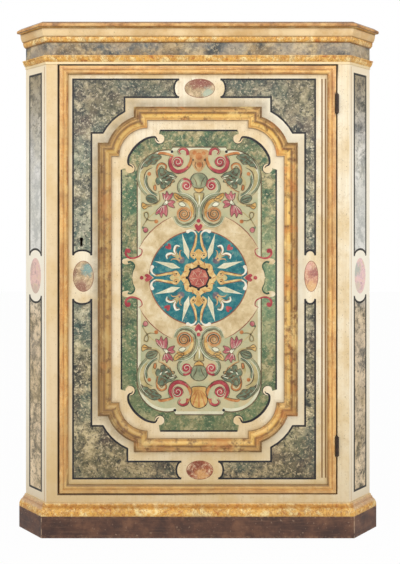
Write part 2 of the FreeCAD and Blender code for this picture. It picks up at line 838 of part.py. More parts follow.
def lock():
    """Box lock on the inside of the door: case, sliding bolt, bow spring, and a strike plate on the stile."""
    left = -door_half + size("lock_from_edge")
    foot = size("keyhole_level") - size("lock_height") / 2
    wall = size("lock_wall")
    play = size("bolt_clearance")
    bolt_foot = size("keyhole_level") + size("bolt_rise") - size("bolt_height") / 2
    bolt_top = bolt_foot + size("bolt_height")
    bolt_front = door_back + size("bolt_setback")
    bolt_start = -door_half + 2 * play
    shell_extent = (size("lock_width"), size("lock_depth"), size("lock_height"))
    shell = box("lock_shell", shell_extent, (left, door_back, foot))
    room_extent = (size("lock_width") - 2 * wall, size("lock_depth") - wall, size("lock_height") - 2 * wall)
    room = box("lock_room", room_extent, (left + wall, door_back, foot + wall))
    slot_extent = (2 * wall, size("bolt_thick") + 2 * play, size("bolt_height") + 2 * play)
    slot = box("bolt_slot", slot_extent, (left - wall / 2, bolt_front - play, bolt_foot - play))
    guide_extent = (size("guide_width"), size("lock_depth") - size("bolt_setback"), size("guide_width"))
    guide_x = bolt_start + size("bolt_length") - size("guide_width")
    guide_at = (guide_x, bolt_front, bolt_foot - play - size("guide_width"))
    guide = box("bolt_guide", guide_extent, guide_at)
    nodes["lock_case"] = fuse("lock_case", [cut("lock_box", shell, room, slot), guide])
    bar_extent = (size("bolt_length"), size("bolt_thick"), size("bolt_height"))
    bar = box("bolt_bar", bar_extent, (bolt_start, bolt_front, bolt_foot))
    talon_x = -door_half + size("keyhole_from_edge")
    along = FreeCAD.Rotation(X_AXIS, -90)
    talon_at = (talon_x, door_back, bolt_foot)
    talon = cylinder("bolt_talon", size("talon_radius"), size("lock_depth"), talon_at, along)
    nodes["lock_bolt"] = cut("lock_bolt", bar, talon)
    spring_foot = bolt_top + play
    rise = foot + size("lock_height") - wall - play - spring_foot
    half = size("spring_span") / 2
    outer = (half * half + rise * rise) / (2 * rise)
    inner_rise = rise - size("spring_thick")
    inner_half = half - size("spring_thick")
    inner = (inner_half * inner_half + inner_rise * inner_rise) / (2 * inner_rise)
    middle = left + size("lock_width") / 2
    bow = [
        (middle + half, spring_foot),
        (middle - half, spring_foot, outer),
        (middle - inner_half, spring_foot),
        (middle + inner_half, spring_foot, -inner),
    ]
    spring_back = bolt_front + size("bolt_thick")
    nodes["lock_spring"] = slab("lock_spring", bow, size("bolt_thick"), spring_back)
    strike_foot = size("keyhole_level") + size("bolt_rise") - size("strike_height") / 2
    strike_at = (-half_opening - size("strike_width"), front + thick, strike_foot)
    strike_extent = (size("strike_width"), size("strike_thick"), size("strike_height"))
    nodes["strike_plate"] = box("strike_plate", strike_extent, strike_at)


def wall_nail(name, along, level):
    """A nail through the right back into a board, at a distance along the wall from the canted side."""
    at = (wall_inner[0] - along * ROOT_HALF, wall_inner[1] + along * ROOT_HALF, level)
    inward = FreeCAD.Rotation(Z_AXIS, V(-1, -1, 0))
    return cone(name, size("nail_radius"), size("nail_tip"), size("nail_length"), at, inward)


def nails():
    """Wrought nails: backs into floor and shelves, battens into the door, hinge leaves into their wood."""
    run = wall_run - size("back_thick")
    levels = [floor_top - size("floor_thick") / 2]
    for which in ("lower", "middle", "upper"):
        levels.append(size(f"{which}_shelf_level") - size("shelf_thick") / 2)
    frame_nails = []
    for i in range(BACK_PLANKS):
        for j, level in enumerate(levels):
            along = run * ((i + 0.5) / BACK_PLANKS)
            nail = wall_nail(f"right_back_nail_{i}_{j}", along, level)
            frame_nails += [nail, mirrored(f"left_back_nail_{i}_{j}", nail, X_AXIS)]
    door_nails = []
    forward = FreeCAD.Rotation(X_AXIS, 90)
    width = 2 * door_half / DOOR_PLANKS
    for which, foot in batten_levels.items():
        level = foot + size("batten_height") / 2
        for i in range(DOOR_PLANKS):
            at = (-door_half + (i + 0.5) * width, door_back + size("batten_thick"), level)
            shape = (size("nail_radius"), size("nail_tip"), size("nail_length"))
            door_nails.append(cone(f"{which}_batten_nail_{i}", *shape, at, forward))
    small = (size("small_nail_radius"), size("nail_tip"), size("small_nail_length"))
    into_stile = FreeCAD.Rotation(Y_AXIS, 90)
    into_door = FreeCAD.Rotation(Y_AXIS, -90)
    for which, foot in hinge_levels().items():
        for i in range(NAILS_PER_LEAF):
            level = foot + (i + 0.5) * size("hinge_length") / NAILS_PER_LEAF
            y = front + size("leaf_depth") * 0.6
            frame_at = (half_opening, y, level)
            frame_nails.append(cone(f"{which}_frame_leaf_nail_{i}", *small, frame_at, into_stile))
            door_at = (door_half, y, level)
            door_nails.append(cone(f"{which}_door_leaf_nail_{i}", *small, door_at, into_door))
    nodes["frame_nails"] = group("frame_nails", frame_nails)
    nodes["door_nails"] = group("door_nails", door_nails)


def write_parts():
    """Checks every object, then writes one STEP file per node."""
    doc.recompute()
    failed = [o.Name for o in doc.Objects if "Invalid" in o.State or "Error" in o.State]
    broken = [n for n, o in nodes.items() if o.Shape.isNull() or not o.Shape.isValid() or not o.Shape.Solids]
    if failed or broken:
        raise RuntimeError(f"objects that failed: {failed}; nodes with no valid solid: {broken}")
    os.makedirs("parts", exist_ok=True)
    for name, obj in nodes.items():
        obj.Label = name
        obj.Shape.exportStep(os.path.join("parts", f"{name}.step"))
        print(f"{name}: {len(obj.Shape.Solids)} solid(s), {obj.Shape.Volume / 1000:.1f} cm3")


carcass_boards()
floor_and_shelves()
plinth()
front_mouldings()
door_boards()
edge_mouldings()
panel_mouldings()
hinges()
door_stop()
lock()
nails()
write_parts()
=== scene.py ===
import math

import bmesh
import bpy
from mathutils import Matrix, Vector
from mathutils.geometry import tessellate_polygon


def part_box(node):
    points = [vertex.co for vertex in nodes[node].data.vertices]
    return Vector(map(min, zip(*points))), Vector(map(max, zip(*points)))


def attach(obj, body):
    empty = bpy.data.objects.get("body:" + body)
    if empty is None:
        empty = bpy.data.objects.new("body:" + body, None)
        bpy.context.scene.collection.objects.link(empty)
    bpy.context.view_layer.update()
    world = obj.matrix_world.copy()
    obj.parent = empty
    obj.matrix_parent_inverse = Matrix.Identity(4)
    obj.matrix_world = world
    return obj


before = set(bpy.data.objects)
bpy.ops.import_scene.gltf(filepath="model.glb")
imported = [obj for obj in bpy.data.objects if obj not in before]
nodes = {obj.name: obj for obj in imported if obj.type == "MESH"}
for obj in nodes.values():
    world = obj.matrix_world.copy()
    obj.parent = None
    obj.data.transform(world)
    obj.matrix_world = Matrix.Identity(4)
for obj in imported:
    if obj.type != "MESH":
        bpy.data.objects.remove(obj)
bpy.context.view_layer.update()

# Places read from the frame, in metres
MM = 0.001
PLANK_LOW, PLANK_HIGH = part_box("door_plank_2")
FRONT = PLANK_LOW.y
DOOR_MIDDLE = (PLANK_LOW.z + PLANK_HIGH.z) / 2
HALF_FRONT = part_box("right_stile")[1].x
CANT_FACE = (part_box("top_board")[1].x - HALF_FRONT) * math.sqrt(2)
ARCHITRAVE_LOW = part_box("architrave_front")[0].z
FRIEZE_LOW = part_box("architrave_front")[1].z
CROWN_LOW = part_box("crown_front")[0].z
PLINTH_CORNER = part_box("plinth_front")[1].x
DOOR_HALF = Vector((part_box("door_edge_right")[1].x, 0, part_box("door_edge_top")[1].z - DOOR_MIDDLE))
DOOR_SEAMS = [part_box(f"door_plank_{i}")[0].x for i in (2, 3, 4)]

# Levels where a tone of a moulding begins and where it is full, in metres
BEAD_TOP = 19.0 * MM
FILLET_FOOT = 47.0 * MM
BASE_LIP = (0.084, 0.077)
BASE_ROUND = (0.092, 0.098)
BASE_NECK = ((0.098, 0.103), (0.112, 0.106))
BASE_CREST = (0.1115, 0.1135)
PLINTH_EDGES = ((0.012, 0.0), (0.068, 0.076))

# Camera, fitted to the photo: the image is 400 by 564 pixels
IMAGE_HEIGHT = 564
FOCAL_PIXELS = 737.7
CAMERA_BACK = 2.608
CAMERA_HEIGHT = 1.1
SENSOR = 36.0
SHIFT_RIGHT_PIXELS = 2.2
SHIFT_UP_PIXELS = -58.2
CAMERA_REACH = 60

# Paint films: height of a layer and of each stroke over the one before, in millimetres
LAYER = 0.12
BRUSH_STEP = 0.006

# Sizes of the door's mouldings, in millimetres
EDGE_WIDTH = 31.0
PANEL_MOULDING = 48.0
FRAME_HALF = (353.0, 610.0)
CORNER_STEP = 127.0
CORNER_CENTRE = 177.0
CORNER_RADIUS = 150.0
GROOVES = (434.0, 456.0)
GROOVE_DEPTH = (0.7, 3.7)


def colour(red, green, blue):
    """A colour written as 0 to 255 in sRGB, as a linear RGBA."""
    parts = [c / 255 for c in (red, green, blue)]
    return tuple(c / 12.92 if c <= 0.04045 else ((c + 0.055) / 1.055) ** 2.4 for c in parts) + (1.0,)


CREAM = (238, 224, 193)
DIRT = (128, 104, 72)

# Finishes: gloss as two roughnesses, relief in metres, scale of the relief and its stretch
BRUSHED = ((0.38, 0.6), 0.0003, 120, (1, 1, 0.12))
WAXED = ((0.32, 0.55), 0.0003, 110)


class Value:
    """An output of a paint's nodes that takes part in sums."""

    def __init__(self, paint, socket):
        self.paint = paint
        self.socket = socket

    def __add__(self, other):
        return self.paint.maths("ADD", self, other)

    def __sub__(self, other):
        return self.paint.maths("SUBTRACT", self, other)

    def __rsub__(self, other):
        return self.paint.maths("SUBTRACT", other, self)

    def __mul__(self, other):
        return self.paint.maths("MULTIPLY", self, other)

    def __truediv__(self, other):
        return self.paint.maths("DIVIDE", self, other)

    def __abs__(self):
        return self.paint.maths("ABSOLUTE", self)


# Sockets of the mix node, by number: its share, its two colours and the colour it gives
MIX_SHARE, MIX_FIRST, MIX_SECOND = 0, 6, 7
MIX_RESULT = 2


class Paint:
    """A node material built step by step; patterns follow the piece's own coordinates."""

    def __init__(self, name):
        self.material = bpy.data.materials.new(name)
        self.material.use_nodes = True
        self.tree = self.material.node_tree
        self.shader = self.tree.nodes["Principled BSDF"]
        self.place = self.add("ShaderNodeTexCoord", "Object")

    def add(self, kind, output, inputs=(), **settings):
        """The output of a new node whose inputs take other outputs, colours of 0 to 255 or numbers."""
        node = self.tree.nodes.new(kind)
        for name, value in settings.items():
            setattr(node, name, value)
        for socket, value in dict(inputs).items():
            self.put(value, node.inputs[socket])
        return Value(self, node.outputs[output])

    def put(self, value, socket):
        if isinstance(value, Value):
            self.tree.links.new(value.socket, socket)
        else:
            socket.default_value = colour(*value) if socket.type == "RGBA" else value

    def noise(self, scale, detail, rough, twist=0.0, stretch=None, turn=0.0):
        """Clouds of 0 to 1 in the piece's own coordinates, stretched and turned where asked."""
        place = self.place
        if stretch:
            mapping = {"Vector": place, "Scale": stretch, "Rotation": (0, turn, 0)}
            place = self.add("ShaderNodeMapping", "Vector", mapping)
        return self.add("ShaderNodeTexNoise", "Fac", {
            "Vector": place, "Scale": scale, "Detail": detail, "Roughness": rough, "Distortion": twist,
        })

    def along(self, axis):
        """One coordinate of the piece, in metres."""
        return self.add("ShaderNodeSeparateXYZ", axis, {"Vector": self.place})

    def from_middle(self):
        """Distances from the middle of the door, across and up, in metres."""
        return abs(self.along("X")), abs(self.along("Z") - DOOR_MIDDLE)

    def maths(self, operation, first, second=0.0):
        return self.add("ShaderNodeMath", 0, {0: first, 1: second}, operation=operation)

    def ramp(self, value, stops):
        tone = self.add("ShaderNodeValToRGB", "Color", {"Fac": value})
        marks = tone.socket.node.color_ramp.elements
        while len(marks) < len(stops):
            marks.new(0.5)
        for mark, (position, shade) in zip(marks, stops):
            mark.position = position
            mark.color = colour(*shade)
        return tone

    def mix(self, share, first, second, mode="MIX"):
        inputs = {MIX_SHARE: share, MIX_FIRST: first, MIX_SECOND: second}
        return self.add("ShaderNodeMix", MIX_RESULT, inputs, data_type="RGBA", blend_type=mode)

    def between(self, value, low, high):
        """0 below low, 1 above high."""
        return self.add("ShaderNodeMapRange", "Result", {"Value": value, "From Min": low, "From Max": high})

    def spots(self, low, high, *noise, **stretch):
        """Patches where a noise rises from low to high."""
        return self.between(self.noise(*noise, **stretch), low, high)

    def aged(self, shade, rub, grime):
        """Rubs down to the cream ground, dust in hollows of the brushwork, worm holes and specks."""
        rubbed = self.spots(0.60, 0.72, 62, 8, 0.72)
        shade = self.mix(rubbed * rub, shade, CREAM)
        cloud = self.spots(0.42, 0.78, 9, 6, 0.62)
        shade = self.mix(cloud * (grime * 0.55), shade, DIRT, "MULTIPLY")
        speck = self.spots(0.69, 0.74, 230, 2, 0.5)
        return self.mix(speck * 0.62, shade, DIRT)

    def done(self, shade, gloss, relief, grain, stretch=None):
        """The material, with uneven gloss between two roughnesses and fine relief in metres."""
        rough = {"Value": self.noise(38, 5, 0.6), "To Min": gloss[0], "To Max": gloss[1]}
        height = {"Distance": relief, "Strength": 0.6, "Height": self.noise(grain, 6, 0.6, stretch=stretch)}
        finish = {
            "Base Color": shade,
            "Roughness": self.add("ShaderNodeMapRange", "Result", rough),
            "Normal": self.add("ShaderNodeBump", "Normal", height),
        }
        for socket, value in finish.items():
            self.put(value, self.shader.inputs[socket])
        return self.material


def worn_cream(name):
    """Old ivory paint with brush streaks, stains and specks: the paint and its colour."""
    p = Paint(name)
    tone = p.ramp(p.noise(6.5, 7, 0.6), [
        (0.38, (243, 231, 204)), (0.50, (237, 219, 184)), (0.63, (224, 198, 150)),
    ])
    streak = p.spots(0.47, 0.64, 1.0, 5, 0.6, stretch=(130, 130, 3))
    tone = p.mix(streak * 0.3, tone, (206, 180, 136))
    stain = p.spots(0.53, 0.66, 24, 9, 0.75)
    tone = p.mix(stain * 0.45, tone, (198, 170, 122))
    speck = p.spots(0.66, 0.72, 210, 2, 0.5)
    tone = p.mix(speck * 0.75, tone, DIRT)
    return p, tone


def tanner_foot(p, tone, amount):
    """Darker and tanner towards the floor."""
    low = p.between(p.along("Z"), 0.50, 0.10)
    return p.mix(low * amount, tone, (196, 166, 108))


def dark_behind(p, tone, seams=()):
    """Bare dark wood behind the painted front, darker at the seams, with painted shade in the gap round the
    door that is paler under it.
    """
    deep = p.between(p.along("Y"), FRONT + 0.5 * MM, FRONT + 1.6 * MM)
    wood = wood_tone(p, (58, 40, 27), (84, 60, 40), (108, 80, 54))
    for place in seams:
        away = abs(p.along("X") - place)
        wood = p.mix(p.between(away, 2.2 * MM, 0.8 * MM), wood, (30, 20, 13))
    inset = edge_inset(p)
    # painted shade: near-black brown in the gap round the door, a paler brown in the gap under the door
    gap_shade = p.between(inset, -6.4 * MM, -5.6 * MM) * p.between(inset, 1.2 * MM, 0.4 * MM)
    below = p.between(p.along("Z"), DOOR_MIDDLE - 0.70, DOOR_MIDDLE - 0.72)
    wood = p.mix(gap_shade, wood, p.mix(below, (60, 32, 10), (170, 122, 70)))
    return p.mix(deep, tone, wood)


def frame_cream():
    """Face frame: yellowed most on the left, with painted shade on its edge beside the door gap on the left
    and at the top.
    """
    p, tone = worn_cream("frame_cream")
    left = p.between(p.along("X"), -0.1, -0.5)
    tone = p.mix(left * 0.6, tone, (226, 194, 142))
    tone = tanner_foot(p, tone, 0.5)
    # painted shade: a near-black line on the frame's edge beside the door gap, on the left and at the top
    gap_shade_sides = p.maths("MAXIMUM", p.between(p.along("X"), 0.1, -0.1), p.between(p.along("Z"), 1.60, 1.65))
    arris = gap_shade_sides * p.between(edge_inset(p), -9.0 * MM, -7.6 * MM)
    tone = p.mix(arris * 0.85, tone, (48, 28, 14))
    return p.done(dark_behind(p, tone), *BRUSHED)


def cant_cream():
    p, tone = worn_cream("cant_cream")
    tone = p.mix(0.85, tone, (255, 249, 232))
    high = p.between(p.along("Z"), 1.35, 1.62) * 0.55
    tone = p.mix(high, tone, (232, 208, 164))
    return p.done(tanner_foot(p, tone, 0.45), *BRUSHED)


def door_cream():
    """Door boards: grey beside the mouldings, partly dirt and partly painted shade, kept paler below the
    shaped frame's foot as painted light, with brown painted shade in the grooves.
    """
    p, tone = worn_cream("door_cream")
    inset = panel_inset(p)
    cloud = p.spots(0.35, 0.65, 30, 6, 0.65)
    # grey beside the shaped frame: partly dirt, partly painted shade; kept paler below the frame's foot,
    # painted light against the shadow the frame casts there, and fading out towards the right edge
    outside = p.between(inset, -40 * MM, -12 * MM) * p.between(inset, 4 * MM, 0.0)
    grey = outside * (cloud * 0.35 + 0.42)
    above_foot = p.between(p.along("Z"), DOOR_MIDDLE - 0.62, DOOR_MIDDLE - 0.56)
    grey = grey * (above_foot * 0.8 + 0.2)
    x = p.along("X")
    grey = grey * p.between(x, 0.52, 0.26)
    tone = p.mix(grey, tone, (158, 142, 114))
    within = p.between(inset, 40 * MM, 47 * MM) * 0.15
    tone = p.mix(within, tone, (214, 178, 126))
    clean = p.between(x, 0.22, 0.28) * p.between(x, 0.40, 0.36)
    tone = p.mix(clean * 0.45, tone, (248, 242, 220))
    inside = p.between(inset, 62 * MM, 48 * MM) * p.between(inset, 40 * MM, 47 * MM)
    tone = p.mix(inside * 0.4, tone, (178, 152, 112))
    rim = p.between(edge_inset(p), 48 * MM, 35 * MM)
    tone = p.mix(rim * 0.5, tone, (192, 158, 98))
    tone = dark_behind(p, tanner_foot(p, tone, 0.6), DOOR_SEAMS)
    # painted shade: brown inside the two grooves
    left, right = (g * MM for g in GROOVES)
    groove = p.between(x, left - MM, left + MM) * p.between(x, right + MM, right - MM)
    depth = p.along("Y")
    shallow, deep = (FRONT + d * MM for d in GROOVE_DEPTH)
    groove = groove * p.between(depth, shallow - 0.3 * MM, shallow + 0.3 * MM)
    groove = groove * p.between(depth, deep + 0.3 * MM, deep - 0.3 * MM)
    tone = p.mix(groove, tone, (150, 110, 62))
    return p.done(tone, *BRUSHED)


def panel_inset(p):
    """Distance inward from the outer edge of the shaped frame on the door, in metres."""
    x, z = p.from_middle()

    def inside(half_wide, half_tall):
        return p.maths("MINIMUM", half_wide * MM - x, half_tall * MM - z)

    half_wide, half_tall = FRAME_HALF
    tall = inside(half_wide - CORNER_STEP, half_tall)
    wide = inside(half_wide, half_tall - CORNER_STEP)
    dx = x - (half_wide - CORNER_CENTRE) * MM
    dz = z - (half_tall - CORNER_CENTRE) * MM
    rounded = CORNER_RADIUS * MM - p.maths("SQRT", dx * dx + dz * dz)
    return p.maths("MAXIMUM", p.maths("MAXIMUM", tall, wide), rounded)


def edge_inset(p):
    """Distance inward from the edge of the door, in metres."""
    x, z = p.from_middle()
    return p.maths("MINIMUM", DOOR_HALF.x - x, DOOR_HALF.z - z)


def veined(p, pale, warm, deep, scale):
    """Painted yellow marble: warm clouds crossed by two sets of thin brown veins."""
    cloud = p.noise(scale * 1.5, 8, 0.66, 0.6)
    tone = p.ramp(cloud, [(0.36, deep), (0.43, warm), (0.51, warm), (0.60, pale)])
    for spread, twist, stretch, turn, share in VEINS:
        vein = p.noise(scale * spread, 9, 0.66, twist, stretch, turn)
        line = p.between(abs(vein - 0.5), 0.026, 0.0)
        tone = p.mix(line * share, tone, (150, 78, 32))
    burn = p.spots(0.57, 0.66, scale * 3.5, 6, 0.7)
    tone = p.mix(burn * 0.6, tone, (146, 90, 42))
    light = p.spots(0.54, 0.64, scale * 4.5, 5, 0.7)
    return p.mix(light * 0.75, tone, pale)


VEINS = ((1.0, 1.6, (1.8, 1.8, 1.0), 0.7, 0.85), (1.4, 2.2, (1.0, 1.0, 1.8), -0.6, 0.6))
GOLD = ((254, 228, 160), (234, 180, 86), (198, 122, 44))
PEACH = ((250, 218, 150), (229, 172, 88), (190, 118, 50))


def banded(p, tone, share, inset, width, stops):
    """Bands of tone across a moulding, partly its own darker paint and dirt, partly painted shade in its
    hollows and a painted highlight on its round, wavering a little, over its marbling.
    """
    waver = (p.noise(26, 4, 0.6) - 0.5) * 0.07
    return p.mix(share, tone, p.ramp(inset / (width * MM) + waver, stops))


def mottled(p, tone, low, patches):
    """Soft patches, each with a scale, a share and a colour."""
    for scale, share, shade in patches:
        patch = p.spots(low, 0.63, scale, 6, 0.68, 0.4)
        tone = p.mix(patch * share, tone, shade)
    return tone


def edge_streaks(p):
    """Brush streaks that run along each strip of the door's edge."""
    x, z = p.from_middle()
    lead = (DOOR_HALF.z - z) - (DOOR_HALF.x - x)
    upright = p.between(lead, -0.5 * MM, 0.5 * MM)
    tall = p.noise(1.0, 7, 0.66, 0.5, (64, 64, 7)) * upright
    wide = p.noise(1.0, 7, 0.66, 0.5, (7, 64, 64))
    return tall + wide * (1.0 - upright)


def edge_paint():
    """Peach marbling on the door's edge: a painted highlight on the round, brown painted shade against the
    boards and on the inner side of the bottom run.
    """
    p = Paint("edge_marbling")
    tone = veined(p, *PEACH, 26)
    streak = edge_streaks(p)
    tone = p.mix(p.between(streak, 0.48, 0.40) * 0.8, tone, (146, 88, 40))
    tone = p.mix(p.between(streak, 0.51, 0.59) * 0.8, tone, (252, 214, 132))
    tone = mottled(p, tone, 0.52, ((9, 0.5, (252, 222, 150)), (12, 0.55, (142, 92, 46))))
    # painted highlight on the round, painted shade at both edges of the moulding
    tone = banded(p, tone, 0.5, edge_inset(p), EDGE_WIDTH, [
        (0.00, (96, 66, 40)), (0.06, (226, 174, 114)), (0.38, (224, 168, 102)),
        (0.47, (212, 154, 88)), (0.58, (246, 204, 134)), (0.74, (232, 178, 102)),
        (0.88, (160, 104, 50)), (1.00, (116, 78, 42)),
    ])
    # painted shade: dark brown on the inner side of the bottom run
    low = p.between(p.along("Z"), DOOR_MIDDLE - 0.68, DOOR_MIDDLE - 0.73)
    low = low * p.between(edge_inset(p), 0.78 * EDGE_WIDTH * MM, 0.88 * EDGE_WIDTH * MM)
    tone = p.mix(low * 0.85, tone, (92, 58, 28))
    return p.done(tanner_foot(p, p.aged(tone, 0.35, 0.6), 0.3), *WAXED)


def panel_paint():
    """Golden marbling on the shaped frame: brown cove, partly dirt and partly painted shade, a painted
    highlight on the round, dark inner line, and painted shade to the left and towards the bottom.
    """
    p = Paint("panel_marbling")
    tone = veined(p, *GOLD, 24)
    # painted shade in the cove and the quirk, a painted highlight on the wide round
    tone = banded(p, tone, 0.86, panel_inset(p), PANEL_MOULDING, [
        (0.00, (104, 78, 44)), (0.12, (118, 86, 44)), (0.20, (150, 110, 58)),
        (0.31, (230, 188, 120)), (0.38, (190, 144, 80)), (0.47, (88, 54, 8)),
        (0.54, (146, 100, 36)), (0.63, (242, 192, 98)), (0.72, (255, 214, 126)),
        (0.80, (252, 206, 118)), (0.87, (204, 152, 76)), (0.94, (220, 176, 104)),
        (1.00, (118, 86, 50)),
    ])
    tone = mottled(p, tone, 0.53, ((13, 0.6, (252, 220, 146)), (10, 0.5, (208, 118, 40))))
    scorch = p.spots(0.52, 0.64, 36, 7, 0.7)
    tone = p.mix(scorch * 0.85, tone, (116, 68, 26))
    # painted shade: darker towards the bottom and on the left
    low = p.between(p.along("Z"), DOOR_MIDDLE + 0.5, DOOR_MIDDLE - 0.6) * 0.2
    left = p.between(p.along("X"), -0.1, -0.32) * 0.42
    tone = p.mix(low + left, tone, (128, 98, 60))
    return p.done(p.aged(tone, 0.25, 0.6), (0.30, 0.55), 0.0003, 110)


def crown_paint():
    """Cornice in bands: orange bead, tan swelling, brown fillet between dark lines that are partly dirt and
    partly painted shade, with painted shadow under the fillet.
    """
    p = Paint("crown_marbling")
    tone = veined(p, *GOLD, 19)
    level = p.along("Z") - CROWN_LOW
    tan = p.ramp(p.noise(11, 7, 0.62), [(0.40, (238, 210, 160)), (0.62, (218, 178, 118))])
    above_bead = p.between(level, BEAD_TOP - 0.6 * MM, BEAD_TOP + 0.2 * MM)
    below_fillet = p.between(level, FILLET_FOOT - 0.2 * MM, FILLET_FOOT - 0.8 * MM)
    tone = p.mix(above_bead * below_fillet, tone, tan)
    brown = p.ramp(p.noise(13, 8, 0.7), [
        (0.38, (120, 74, 32)), (0.48, (190, 132, 66)), (0.60, (232, 186, 116)),
    ])
    fillet = p.between(level, FILLET_FOOT - 0.2 * MM, FILLET_FOOT + 1.0 * MM)
    tone = p.mix(fillet * 0.9, tone, brown)
    # dark lines at the fillet's foot and its top edge: partly dirt in the joints, partly painted shade
    edge = fillet * p.between(level, FILLET_FOOT + 3.0 * MM, FILLET_FOOT + 1.6 * MM)
    edge = p.maths("MAXIMUM", edge, p.between(level, FILLET_FOOT + 14.5 * MM, FILLET_FOOT + 17.0 * MM))
    tone = p.mix(edge * 0.85, tone, (84, 54, 28))
    shadow = p.between(level, FILLET_FOOT - 4.0 * MM, FILLET_FOOT - 1.0 * MM)
    shadow = shadow * below_fillet
    tone = p.mix(shadow * 0.8, tone, (84, 62, 42))
    crease = above_bead * p.between(level, BEAD_TOP + 2.6 * MM, BEAD_TOP + 0.4 * MM)
    tone = p.mix(crease * 0.7, tone, (140, 100, 52))
    foot = p.between(level, 4 * MM, 0.5 * MM)
    tone = p.mix(foot * 0.7, tone, (130, 80, 40))
    return p.done(p.aged(tone, 0.3, 0.5), *WAXED)


def architrave_paint():
    """Orange round over a cream band."""
    p = Paint("architrave_marbling")
    tone = veined(p, *GOLD, 19)
    fillet = p.between(p.along("Z"), ARCHITRAVE_LOW + 8.6 * MM, ARCHITRAVE_LOW + 7.6 * MM)
    tone = p.mix(fillet, tone, (238, 216, 170))
    return p.done(p.aged(tone, 0.3, 0.4), *WAXED)


def base_paint():
    """Orange marbling over the plinth, brown in its neck, and pale grey on the round of the canted parts,
    partly its paint and partly a painted sheen.
    """
    p = Paint("base_marbling")
    tone = veined(p, *GOLD, 17)
    level = p.along("Z")
    neck = p.between(level, *BASE_NECK[0]) * p.between(level, *BASE_NECK[1])
    tone = p.mix(neck * 0.55, tone, (176, 116, 54))
    # pale grey on the round of the canted parts: partly its paint, partly a painted sheen
    canted = p.between(abs(p.along("X")), HALF_FRONT + 8 * MM, HALF_FRONT + 16 * MM)
    grey = canted * p.between(level, *BASE_ROUND)
    tone = p.mix(grey * 0.55, tone, (206, 178, 152))
    crest = p.between(level, *BASE_CREST)
    tone = p.mix(crest * 0.8, tone, (222, 196, 150))
    lip = p.between(level, *BASE_LIP)
    tone = p.mix(lip * 0.4, tone, (198, 148, 84))
    return p.done(p.aged(tone, 0.4, 0.7), (0.35, 0.6), 0.0004, 110)


def plinth_paint():
    """Dark brown paint, scuffed to bare wood at the edges."""
    p = Paint("plinth_brown")
    tone = p.ramp(p.noise(14, 8, 0.66), [(0.38, (60, 36, 27)), (0.52, (86, 55, 40)), (0.66, (118, 80, 57))])
    streak = p.spots(0.52, 0.68, 1.0, 6, 0.65, stretch=(9, 9, 160))
    tone = p.mix(streak * 0.4, tone, (124, 90, 68))
    foot, head = (p.between(p.along("Z"), *edge) for edge in PLINTH_EDGES)
    edge = p.maths("MAXIMUM", foot, head)
    chips = p.spots(0.5, 0.62, 70, 6, 0.7) * edge
    tone = p.mix(chips * 0.6, tone, (160, 124, 92))
    spot = p.spots(0.66, 0.72, 120, 3, 0.6)
    tone = p.mix(spot * 0.7, tone, (168, 140, 116))
    aside = abs(p.along("X")) - PLINTH_CORNER
    arris = p.between(abs(aside), 2.6 * MM, 0.8 * MM)
    worn = arris * p.spots(0.40, 0.56, 40, 5, 0.7)
    tone = p.mix(worn * 0.75, tone, (190, 160, 132))
    return p.done(tone, (0.45, 0.7), 0.0006, 90, (0.2, 0.2, 1.2))


UPRIGHT_GRAIN = (46, 46, 1.6)
LEVEL_GRAIN = (1.6, 46, 46)


def wood_tone(p, dark, middle, light, grain=UPRIGHT_GRAIN):
    """Long grain of old softwood with stains."""
    tone = p.ramp(p.noise(1.0, 6, 0.6, 0.5, grain), [(0.36, dark), (0.5, middle), (0.64, light)])
    stain = p.spots(0.48, 0.66, 5, 6, 0.6)
    return p.mix(stain * 0.45, tone, dark)


def bare_wood(name, dark, middle, light, grain=UPRIGHT_GRAIN):
    """Unpainted old softwood."""
    p = Paint(name)
    tone = wood_tone(p, dark, middle, light, grain)
    return p.done(tone, (0.6, 0.8), 0.0006, 60, tuple(g / 33 for g in grain))


def iron():
    """Wrought iron, dark with brown rust."""
    p = Paint("wrought_iron")
    tone = p.ramp(p.noise(90, 6, 0.65), [(0.35, (36, 31, 28)), (0.55, (58, 46, 38)), (0.75, (104, 70, 46))])
    p.shader.inputs["Metallic"].default_value = 0.55
    return p.done(tone, (0.42, 0.68), 0.0004, 160)


def sponged(name, tones, washes, pale, dark, grain=1.0, ageing=None):
    """Sponged marble: clouds in five tones, washes of other colours, pale flecks and dark marks."""
    p = Paint(name)
    stops = [0.405, 0.455, 0.50, 0.545, 0.605]
    tone = p.ramp(p.noise(19, 12, 0.58 + 0.16 * grain, 0.3), list(zip(stops, tones)))
    for scale, share, shade in washes:
        wash = p.spots(0.49, 0.60, scale, 5, 0.6)
        tone = p.mix(wash * share, tone, shade)
    fleck = p.spots(0.54, 0.61, 115, 6, 0.74)
    tone = p.mix(fleck * (0.95 * grain), tone, pale)
    mark = p.spots(0.47, 0.40, 70, 7, 0.74, 0.6)
    tone = p.mix(mark * (0.9 * grain), tone, dark)
    if ageing:
        tone = ageing(p, tone)
    return p.done(tone, (0.38, 0.6), 0.00025, 160)


def browned_ends(p, tone):
    """Smoke and handling, darkest near the top and the foot of the door."""
    away = abs(p.along("Z") - DOOR_MIDDLE)
    tone = p.mix(p.between(away, 0.45, 0.68), tone, (225, 219, 214), "MULTIPLY")
    low = p.between(p.along("Z"), DOOR_MIDDLE, DOOR_MIDDLE - 0.4)
    return p.mix(low, tone, (255, 247, 232), "MULTIPLY")


